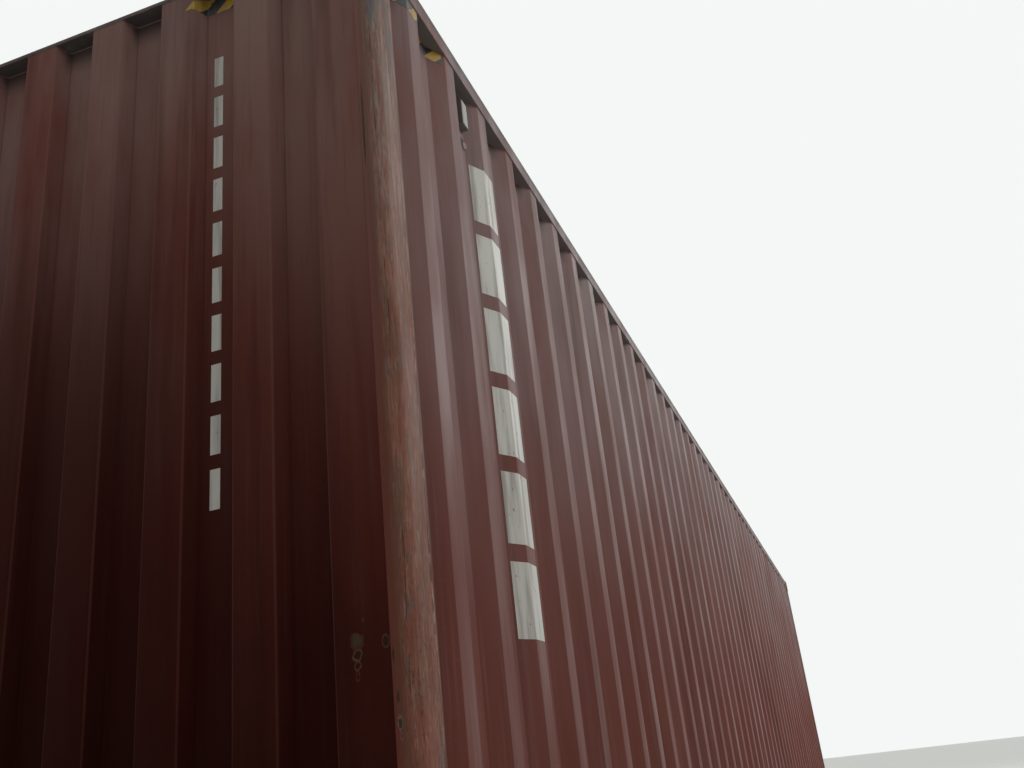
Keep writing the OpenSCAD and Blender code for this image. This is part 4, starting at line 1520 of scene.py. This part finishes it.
@dataclass
class Fasteners:
    """Hexagon bolts and round rivets, gathered into one piece.

    A bolt is an M12 with its washer; across_flats and head are its standard sizes. The
    tops of heads and washers are chamfered.
    """

    ROUND, HEXAGON, DOME_SIDES = 24, 6, 16
    CREASE = 30.0
    # angles from a rivet's foot up its dome, and the dome's height by its radius
    DOME, DOME_HEIGHT = (0.0, 0.4, 0.8, 1.2, 1.45), 0.6

    across_flats: float = 18.0
    head: float = 7.5
    head_chamfer: float = 1.2
    head_top: float = 0.84
    washer_radius: float = 12.0
    washer_height: float = 2.5
    washer_side: float = 0.7
    washer_chamfer: float = 1.0
    rivet_radius: float = 5.0
    points: list[Point] = field(default_factory=list)
    faces: list[tuple[int, ...]] = field(default_factory=list)

    def stack(self, foot: Point, axis: Point, rings: Sequence[Pair], sides: int) -> None:
        """Add one turned or hexagonal body.

        Args:
            foot: Middle of its foot.
            axis: The direction in which it stands.
            rings: Height above the foot and radius, from the foot up.
            sides: Number of sides.
        """
        turn = Vector(axis).normalized().to_track_quat("Z", "Y").to_matrix()
        start = len(self.points)
        for height, radius in rings:
            for i in range(sides):
                angle = math.tau * i / sides
                spot = Vector((math.cos(angle) * radius, math.sin(angle) * radius, height))
                self.points.append(tuple(Vector(foot) + turn @ spot))
        top = start + (len(rings) - 1) * sides
        for a in range(start, top, sides):
            for i in range(sides):
                k = (i + 1) % sides
                self.faces.append((a + i, a + k, a + sides + k, a + sides + i))
        self.faces += [tuple(range(start, start + sides)), tuple(range(top, top + sides))]

    def bolt(self, foot: Point, axis: Point) -> None:
        """Add a bolt head on a washer.

        Args:
            foot: Middle of the washer's foot.
            axis: The direction in which the bolt stands.
        """
        flat, wide = self.washer_height, self.washer_radius
        washer = [(0, wide), (flat * self.washer_side, wide), (flat, wide - self.washer_chamfer)]
        self.stack(foot, axis, washer, self.ROUND)
        corner, tall = self.across_flats / math.sqrt(3), flat + self.head
        head = [(flat, corner), (tall - self.head_chamfer, corner), (tall, corner * self.head_top)]
        self.stack(foot, axis, head, self.HEXAGON)

    def rivet(self, foot: Point, axis: Point) -> None:
        """Add a domed rivet head.

        Args:
            foot: Middle of its foot.
            axis: The direction in which it stands.
        """
        size = self.rivet_radius
        dome = [(size * self.DOME_HEIGHT * math.sin(a), size * math.cos(a)) for a in self.DOME]
        self.stack(foot, axis, dome, self.DOME_SIDES)

    def build(self, name: str, finish: Finish) -> None:
        """Make the piece that holds all the fasteners."""
        add_piece(name, self.points, self.faces, finish, self.CREASE)


# Sub-assemblies


@dataclass(kw_only=True)
class Wall:
    """A folded outer wall and the welds along its edges.

    Its upper edge is lower under the top castings, with a step as wide as given. Welds
    along its upright edges lie weld_depth inwards of its outermost plane.
    """

    way: Side | End
    face: float
    folds: Folds
    bend_radius: float
    top: float
    casting_inner: float
    weld_radius: float
    weld_depth: float
    finish: Finish
    sheet: float = 2.0
    bottom: float = 170.5
    casting_bottom: float = 2778.0
    step: float = 0.3
    rows: int = 16

    def __post_init__(self) -> None:
        """Fold the sheet."""
        cuts = [s * (self.casting_inner + d) for s in (-1, 1) for d in (0.0, self.step)]
        self.folded = FoldedSheet(self.folds, self.sheet, self.bend_radius, self.place, cuts=cuts)

    def turned(self, along: float, out: float, up: float) -> Point:
        """Turn lengths along the wall, out of it and up into X, Y and Z."""
        out *= self.way.value
        return (along, out, up) if isinstance(self.way, Side) else (out, along, up)

    def place(self, u: float, v: float, w: float) -> Point:
        """Turn a place on the sheet into X, Y and Z."""
        return self.turned(u, self.face - v, w)

    def upper_edge(self, u: float) -> float:
        """Give the sheet's upper edge."""
        return self.casting_bottom if abs(u) > self.casting_inner else self.top

    def build_sheet(self) -> None:
        """Make the folded sheet, which stands for the model's own one."""
        word = self.way.word
        sheet = self.folded.build(
            f"folded_sheet_{word}", self.finish, self.bottom, self.upper_edge, self.rows
        )
        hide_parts(f"side_wall_{word}" if isinstance(self.way, Side) else f"{word}_wall")

    def joints(self) -> list[list[Point]]:
        """Give the paths of the welds between the sheet's lengths, if it has them."""
        return []

    def build_welds(self) -> None:
        """Weld the sheet to its rails and posts, and its lengths to one another."""
        seams, bends, outward = WeldSeams(self.weld_radius), self.folded.bends, self.turned(0, 1, 0)
        inner = [bend for bend in bends if abs(bend.u) < self.casting_inner]
        for line, level in ((bends, self.bottom), (inner, self.top)):
            seams.run([self.folded.at(bend, level, self.sheet / 2) for bend in line], outward)
        for u in (self.folds.first, self.folds.last):
            ends = (self.bottom, self.casting_bottom)
            seams.run([self.place(u, self.weld_depth, w) for w in ends], outward)
        for path in self.joints():
            seams.run(path, outward)
        seams.build(f"weld_seams_{self.way.word}", self.finish)


@dataclass(kw_only=True)
class SideWall(Wall):
    """One long wall, welded together from lengths of a few ridges each."""

    face: float = 1212.0
    folds: Folds = Folds(-5985.0, 5962.0, -5926.4, 278.0, 68.0, 72.0, near=36.0, count=43)
    bend_radius: float = 9.0
    top: float = 2830.0
    casting_inner: float = 5918.0
    weld_radius: float = 3.2
    weld_depth: float = 36.0
    finish: Finish = Finish.SIDE
    ridges_in_length: int = 4
    joint_steps: int = 12

    def joints(self) -> list[list[Point]]:
        """Give the paths of the welds between the sheet's lengths.

        Returns:
            The corners of each path, in the middle of a recess.
        """
        folds, paths = self.folds, []
        back = (folds.pitch - 2 * folds.slope - folds.flat) / 2
        rise = self.top - self.bottom
        levels = [self.bottom + rise * j / self.joint_steps for j in range(self.joint_steps + 1)]
        for i in range(self.ridges_in_length, folds.count, self.ridges_in_length):
            u = folds.start + i * folds.pitch - back
            paths.append([self.place(u, folds.near - self.folded.lift(u, w), w) for w in levels])
        return paths


@dataclass(kw_only=True)
class FrontWall(Wall):
    """The wall of the closed front end."""

    way: End = End.FRONT
    face: float = 6091.0
    folds: Folds = Folds(-1160.0, 1160.0, -1031.8, 241.3, 18.0, 97.3, far=45.6, count=9)
    bend_radius: float = 8.0
    top: float = 2878.0
    casting_inner: float = 1057.0
    weld_radius: float = 2.6
    weld_depth: float = 0.5
    finish: Finish = Finish.FRONT


@dataclass(frozen=True)
class Blocks:
    """Even blocks of white tape, one under another: their span, highest edge and height."""

    name: str
    span: Pair
    top: float
    height: float
    pitch: float
    count: int

    def stick(self, sheet: FoldedSheet) -> None:
        """Stick them on a sheet.

        Args:
            sheet: The sheet.
        """
        for i in range(self.count):
            top = self.top - i * self.pitch
            sheet.stick(f"{self.name}_{i + 1}", Finish.WHITE, self.span, (top - self.height, top))


@dataclass
class Markings:
    """Tapes on the walls: height stripes at the corners and plain white marking tape.

    A zero is a place, along the wall and in height, where a yellow stripe starts.
    """

    walls: Mapping[Side, SideWall]
    front: FrontWall
    side_span: Pair = (5593.0, 5917.5)
    side_height: Pair = (2786.0, 2829.0)
    side_zero: float = -5849.0
    end_span: Pair = (632.0, 1056.0)
    end_height: Pair = (2821.0, 2877.0)
    header_face: float = 6030.0
    band: Blocks = Blocks("white_band", (-5362.0, -5232.0), 2570.0, 210.0, 260.0, 6)
    dash: Blocks = Blocks("white_dash", (-728.0, -700.0), 2658.0, 98.0, 134.0, 10)

    def build_stripes(self) -> None:
        """Make the yellow and black stripes that warn of the container's height."""
        inner, outer = self.side_span
        for side, wall in self.walls.items():
            wall.folded.count_from(self.side_zero, self.side_height[0], -side.value)
            for end in End:
                span = (end.value * inner, end.value * outer)
                name = f"stripes_{side.word}_{end.word}"
                wall.folded.stick(name, Finish.STRIPES, span, self.side_height)
        near, far = self.end_span
        header = FoldedSheet(
            Folds(-far, far), 0.0, 0.0, lambda u, v, w: (self.header_face - v, u, w), wave=0.0
        )
        for end, sheet in ((End.FRONT, self.front.folded), (End.REAR, header)):
            sheet.count_from(end.value * near, self.end_height[0], end.value)
            for side in Side:
                span = (side.value * near, side.value * far)
                cut = span[0] if end.value == side.value else None
                name = f"stripes_{end.word}_{side.word}"
                sheet.stick(name, Finish.STRIPES, span, self.end_height, cut)

    def build_tapes(self) -> None:
        """Make the plain white tapes, broad on the left side and narrow on the front."""
        self.band.stick(self.walls[Side.LEFT].folded)
        self.dash.stick(self.front.folded)


@dataclass
class DoorLeaf:
    """One door leaf: its folded sheet and the welds around it."""

    side: Side
    face: float = 6023.0
    inner: float = 106.0
    outer: float = 1060.0
    bottom: float = 325.0
    top: float = 2590.0
    fold_pitch: float = 453.0
    slope: float = 40.0
    floor: float = 120.0
    depth: float = 36.0
    sheet: float = 2.0
    bend_radius: float = 8.0
    wave: float = 0.5
    folds: int = 5
    rows: int = 12
    weld_radius: float = 2.6

    def __post_init__(self) -> None:
        """Fold the sheet."""
        first = self.bottom + (self.fold_pitch - 2 * self.slope - self.floor) / 2
        folds = Folds(
            self.bottom, self.top, first, self.fold_pitch, self.slope, self.floor,
            far=self.depth, count=self.folds,
        )
        self.folded = FoldedSheet(folds, self.sheet, self.bend_radius, self.place, self.wave)

    def place(self, u: float, v: float, w: float) -> Point:
        """Turn a place on the sheet into X, Y and Z."""
        return self.face - v, self.side.value * w, u

    def build(self) -> None:
        """Make the folded sheet, which stands for the model's own one, and its welds."""
        word, folded = self.side.word, self.folded
        sheet = folded.build(
            f"door_sheet_{word}", Finish.DOOR, self.inner, lambda u: self.outer, self.rows
        )
        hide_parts(f"door_panel_{word}")
        seams = WeldSeams(self.weld_radius)
        for w in (self.inner, self.outer):
            seams.run([folded.at(bend, w, self.sheet / 2) for bend in folded.bends], (1.0, 0.0, 0.0))
        seams.build(f"weld_seams_door_{word}", Finish.DOOR)


@dataclass
class DoorFittings:
    """Small things on the doors: bolts of the bar brackets and hinges, and gasket lips.

    A leaf is its inner and outer edge, and its lower and upper edge; a lip lies outside
    them by its gaps.
    """

    bars: Pair = (216.0, 880.0)
    # the faces on which the bars' brackets stand, and their levels there
    brackets: tuple[tuple[float, Pair], ...] = ((6025.0, (250.0, 2665.0)), (6023.0, (778.0, 2137.0)))
    bracket_foot: float = 6.0
    bracket_bolts: float = 34.0
    hinge_levels: tuple[float, ...] = (435.0, 1116.7, 1798.3, 2480.0)
    hinge_face: float = 6035.0
    hinge_y: float = 1118.0
    hinge_bolts: float = 22.0
    leaf: tuple[Pair, Pair] = ((6.0, 1160.0), (175.0, 2740.0))
    middle_gap: float = 3.0
    outer_gap: float = 5.0
    lip_face: float = 6020.0
    lip_radius: float = 4.6
    lip_ripple: float = 0.02

    def build(self) -> None:
        """Make the bolts and the lips."""
        out = (1.0, 0.0, 0.0)
        bolts, lips = Fasteners(), WeldSeams(self.lip_radius, self.lip_ripple)
        (inner, outer), (low, high) = self.leaf
        for side in Side:
            for bar, (face, levels) in itertools.product(self.bars, self.brackets):
                for level, way in itertools.product(levels, (-1, 1)):
                    y = side.value * (bar + way * self.bracket_bolts)
                    bolts.bolt((face + self.bracket_foot, y, level), out)
            for level, way in itertools.product(self.hinge_levels, (-1, 1)):
                spot = (self.hinge_face, side.value * self.hinge_y, level + way * self.hinge_bolts)
                bolts.bolt(spot, out)
            near, far = side.value * (inner - self.middle_gap), side.value * (outer + self.outer_gap)
            foot, head = low - self.outer_gap, high + self.outer_gap
            corners = ((near, foot), (far, foot), (far, head), (near, head))
            lips.run([(self.lip_face, y, z) for y, z in corners], out, closed=True)
        bolts.build("door_bolts", Finish.ZINC)
        lips.build("gasket_lips", Finish.RUBBER)


@dataclass
class FrameJoints:
    """Welds where posts, rails and castings meet, and along the edges of the roof."""

    post_levels: Pair = (118.0, 2778.0)
    front_face: float = -6093.0
    side_face: float = 1216.0
    front_post_end: float = -5985.0
    front_post_inner: float = 1160.0
    post_radius: float = 30.0
    post_steps: int = 6
    # share of X and Y in the direction of the welds round a post
    post_slant: Pair = (0.6, 0.8)
    rear_face: float = 6060.0
    rear_start: float = 5962.0
    rear_inner: float = 1170.0
    casting_inner: float = 5918.0
    rail_levels: Pair = (2830.0, 2890.0)
    roof_level: float = 2868.0
    roof_slant: float = 0.3
    rail_inner: float = 1156.0
    post_weld: float = 3.0
    roof_weld: float = 2.6

    def corner(self) -> list[Pair]:
        """Give the outline of a front post's outer faces.

        Returns:
            Its X and Y, from the front face round to the side.
        """
        radius = self.post_radius
        x, y = self.front_face + radius, self.side_face - radius
        turns = [math.pi / 2 * i / self.post_steps for i in range(self.post_steps + 1)]
        arc = [(x - radius * math.cos(a), y + radius * math.sin(a)) for a in turns]
        start, end = (self.front_face, self.front_post_inner), (self.front_post_end, self.side_face)
        return [start, *arc, end]

    def build(self) -> None:
        """Make the welds."""
        posts, roof = WeldSeams(self.post_weld), WeldSeams(self.roof_weld)
        rear = [
            (self.rear_start, self.side_face),
            (self.rear_face, self.side_face),
            (self.rear_face, self.rear_inner),
        ]
        along, across = self.post_slant
        for side in (-1, 1):
            for level, (way, line) in itertools.product(
                self.post_levels, ((-1, self.corner()), (1, rear))
            ):
                path = [(x, side * y, level) for x, y in line]
                posts.run(path, (way * along, side * across, 0.0))
            y, top = side * self.side_face, side * self.rail_inner
            ends = (-self.casting_inner, self.casting_inner)
            for x in ends:
                posts.run([(x, y, level) for level in self.rail_levels], (0.0, side, 0.0))
            roof.run([(x, top, self.roof_level) for x in ends], (0.0, -self.roof_slant * side, 1.0))
        posts.build("weld_seams_frame", Finish.FRAME)
        roof.build("weld_seams_roof", Finish.ROOF)


@dataclass
class Ventilators:
    """The rivets of the model's two wide ventilators, and two narrow ones.

    A narrow one is a moulded cover on a flange, in a recess of the side wall, with a
    white face.
    """

    # the four corners of a ring, as the signs of X and Z
    CORNERS = ((-1, -1), (1, -1), (1, 1), (-1, 1))
    # a point between a cover's side and front, inwards and outwards, by the rounding
    ROUND = (0.3, 0.7)

    face: float = 1203.9
    wide: tuple[tuple[float, Side], ...] = ((5436.6, Side.LEFT), (-5405.4, Side.RIGHT))
    levels: Pair = (2708.0, 2782.0)
    offset: float = 70.0
    narrow: tuple[tuple[float, Side], ...] = ((-5405.4, Side.LEFT), (5436.6, Side.RIGHT))
    wall_face: float = 1176.0
    middle: float = 2733.0
    width: float = 46.0
    height: float = 98.0
    depth: float = 24.0
    rounding: float = 3.0
    flange: float = 4.0
    flange_depth: float = 2.5
    seat: float = 0.5
    film: float = 0.4
    film_gap: float = 0.5

    def build(self) -> None:
        """Make the rivets and the narrow ventilators."""
        rivets = Fasteners()
        for (x, side), level, way in itertools.product(self.wide, self.levels, (-1, 1)):
            foot = (x + way * self.offset, side.value * self.face, level)
            rivets.rivet(foot, (0.0, side.value, 0.0))
        rivets.build("ventilator_rivets", Finish.ZINC)
        shoulder, (inwards, outwards) = self.depth - self.rounding, self.ROUND
        cover = [
            (-self.flange, -self.seat),
            (-self.flange, self.flange_depth),
            (0.0, self.flange_depth),
            (0.0, shoulder),
            (inwards * self.rounding, shoulder + outwards * self.rounding),
            (self.rounding, self.depth),
        ]
        inset = self.rounding + self.film_gap
        film = [(inset, self.depth), (inset, self.depth + self.film)]
        for x, side in self.narrow:
            place = f"{side.word}_{(End.FRONT if x < 0 else End.REAR).word}"
            self.box(f"ventilator_cover_{place}", Finish.COVER, x, side, cover)
            self.box(f"ventilator_face_{place}", Finish.FACE, x, side, film)

    def box(self, name: str, finish: Finish, x: float, side: Side, rings: Sequence[Pair]) -> None:
        """Make a stepped box on a side wall.

        Args:
            name: The piece's name.
            finish: Its finish.
            x: Its middle along the wall.
            side: The wall's side.
            rings: How far each ring lies inside the outline, and its distance from the wall.
        """
        points = [
            (
                x + u * (self.width / 2 - inset),
                side.value * (self.wall_face + out),
                self.middle + w * (self.height / 2 - inset),
            )
            for inset, out in rings
            for u, w in self.CORNERS
        ]
        sides = len(self.CORNERS)
        last = len(points) - sides
        faces = [tuple(range(sides)), tuple(range(last, len(points)))]
        for a, i in itertools.product(range(0, last, sides), range(sides)):
            b, k = a + sides, (i + 1) % sides
            faces.append((a + i, a + k, b + k, b + i))
        add_piece(name, points, faces, finish)


# the model's nodes that have each finish, by how their names start
NODES: dict[Finish, tuple[str, ...]] = {
    Finish.CASTING: ("casting",),
    Finish.POST: ("front_post",),
    Finish.SILL: ("front_bottom_rail",),
    Finish.FRAME: ("rear_post", "front_top_rail", "door_header", "door_sill", "top_rail", "bottom_rail"),
    Finish.FRONT: ("front_wall",),
    Finish.SIDE: ("side_wall",),
    Finish.ROOF: ("roof",),
    Finish.BASE: ("crossmembers", "tunnel", "floor_centre_rail"),
    Finish.FLOOR: ("floor_boards",),
    Finish.DOOR: ("door_frame", "door_panel"),
    Finish.RUBBER: ("door_gaskets",),
    Finish.GEAR: (
        "locking_bars", "bar_brackets", "cam_keepers", "door_handles", "hinge_lugs", "hinge_blades"
    ),
    Finish.ZINC: ("hinge_pins",),
    Finish.VENT: ("ventilators",),
}


def dress_nodes(nodes: Mapping[str, bpy.types.Object]) -> None:
    """Give every node of the model its finish.

    Args:
        nodes: The model's nodes by name.
    """
    for name, node in nodes.items():
        finish = next(finish for finish, starts in NODES.items() if name.startswith(starts))
        if not node.material_slots:
            node.data.materials.append(finish.material)
        for slot in node.material_slots:
            slot.material = finish.material


# Studio


@dataclass(frozen=True)
class Softbox:
    """A rectangular lamp: where it hangs, what it points at, its size and its watts."""

    name: str
    spot: Point
    aim: Point
    size: Pair
    power: float

    def hang(self) -> None:
        """Hang the lamp."""
        data = bpy.data.lights.new(self.name, "AREA")
        data.shape, data.energy = "RECTANGLE", self.power
        data.size, data.size_y = (length / METRE for length in self.size)
        away = (Vector(self.aim) - Vector(self.spot)).normalized()
        turn = away.to_track_quat("-Z", "Y").to_matrix().to_4x4()
        add_object(self.name, data).matrix_world = Matrix.Translation(Vector(self.spot) / METRE) @ turn


@dataclass
class Studio:
    """A pale floor, soft lamps and the camera at the photograph's viewing angle."""

    FLOOR_TONES = Patches((5000, 5000, 5000), 0.2, 0.8)

    eye: Point = (-7903.91, -2039.12, 691.83)
    right: Point = (0.33807, -0.93525, -0.10498)
    down: Point = (0.32529, 0.22079, -0.91948)
    forward: Point = (0.88312, 0.27670, 0.37887)
    lens: float = 34.674
    sensor: float = 36.0
    floor_size: float = 400000.0
    floor_shade: str = "#d6d7d3"
    floor_tone: str = "#dcddd9"
    floor_rough: Pair = (0.75, 0.9)
    floor_shine: float = 0.2
    floor_glow: float = 0.45
    backdrop: str = "#f4f7f5"
    plain_level: float = 0.32
    pale_level: float = 1.0
    lamps: tuple[Softbox, ...] = (
        Softbox("softbox_left", (4000, -9000, 8000), (0, 0, 1200), (14000, 6000), 560.0),
        Softbox("softbox_front", (-11000, -6500, 7500), (-6000, -700, 2400), (7000, 4500), 85.0),
        Softbox("softbox_right", (1000, 10000, 8000), (1000, 0, 1200), (14000, 6000), 500.0),
        Softbox("softbox_door", (13000, 2500, 8500), (6000, 0, 1400), (8000, 5000), 260.0),
    )

    def place_camera(self) -> None:
        """Put the camera where the photograph was taken from."""
        data = bpy.data.cameras.new("camera")
        data.lens, data.sensor_width, data.sensor_fit = self.lens, self.sensor, "HORIZONTAL"
        data.clip_end = self.floor_size / METRE * 2
        camera = add_object("camera", data)
        columns = [Vector(self.right), -Vector(self.down), -Vector(self.forward)]
        turn = Matrix(columns).transposed().to_4x4()
        camera.matrix_world = Matrix.Translation(Vector(self.eye) / METRE) @ turn
        bpy.context.scene.camera = camera

    def lay_floor(self) -> None:
        """Lay the floor, of painted concrete: pale, dull and a little uneven in tone.

        It glows a little towards the camera, to meet the backdrop without an edge.
        """
        half = self.floor_size / METRE / 2
        mesh = bpy.data.meshes.new("floor")
        corners = [(-half, -half, 0), (half, -half, 0), (half, half, 0), (-half, half, 0)]
        mesh.from_pydata(corners, [], [range(len(corners))])
        table = NodeTable(bpy.data.materials.new("painted_concrete_floor"))
        tone = table.mask(self.FLOOR_TONES)
        colour = table.lay(linear(self.floor_shade), [(tone, linear(self.floor_tone))])
        seen = table.add("ShaderNodeLightPath").outputs["Is Camera Ray"]
        links = {0: seen, 1: self.floor_glow}
        glow = table.add("ShaderNodeMath", {"operation": "MULTIPLY"}, links).outputs[0]
        shader = {
            "Base Color": colour,
            "Roughness": table.roughness(tone, self.floor_rough),
            "Specular IOR Level": self.floor_shine,
            "Emission Color": colour,
            "Emission Strength": glow,
        }
        mesh.materials.append(table.finish(shader))
        add_object("floor", mesh)

    def fill_sky(self) -> None:
        """Light the studio plainly, with a pale backdrop for what looks or reflects."""
        table = NodeTable(bpy.data.worlds.new("studio"))
        paths = table.add("ShaderNodeLightPath").outputs
        seen = paths["Is Camera Ray"]
        for kind in ("Is Glossy Ray", "Is Transmission Ray"):
            links = {0: seen, 1: paths[kind]}
            seen = table.add("ShaderNodeMath", {"operation": "MAXIMUM"}, links).outputs[0]
        plain, pale = (
            table.add(
                "ShaderNodeBackground", links={"Color": linear(self.backdrop), "Strength": level}
            ).outputs[0]
            for level in (self.plain_level, self.pale_level)
        )
        mix = table.add("ShaderNodeMixShader", links={0: seen, 1: plain, 2: pale})
        table.add("ShaderNodeOutputWorld", links={"Surface": mix.outputs[0]})
        bpy.context.scene.world = table.owner

    def build(self) -> None:
        """Set up the studio."""
        self.place_camera()
        self.lay_floor()
        self.fill_sky()
        for lamp in self.lamps:
            lamp.hang()
        bpy.context.scene.view_settings.view_transform = "Standard"


def main() -> None:
    """Dress the model, add the fine pieces and set up the studio."""
    logging.basicConfig(level=logging.INFO, format="%(name)s: %(message)s")
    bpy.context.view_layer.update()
    dress_nodes(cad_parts)
    walls = {side: SideWall(way=side) for side in Side}
    front = FrontWall()
    for wall in (*walls.values(), front):
        wall.build_sheet()
        wall.build_welds()
    markings = Markings(walls, front)
    markings.build_stripes()
    markings.build_tapes()
    for side in Side:
        DoorLeaf(side).build()
    DoorFittings().build()
    FrameJoints().build()
    Ventilators().build()
    Studio().build()


if __name__ == "__main__":
    main()
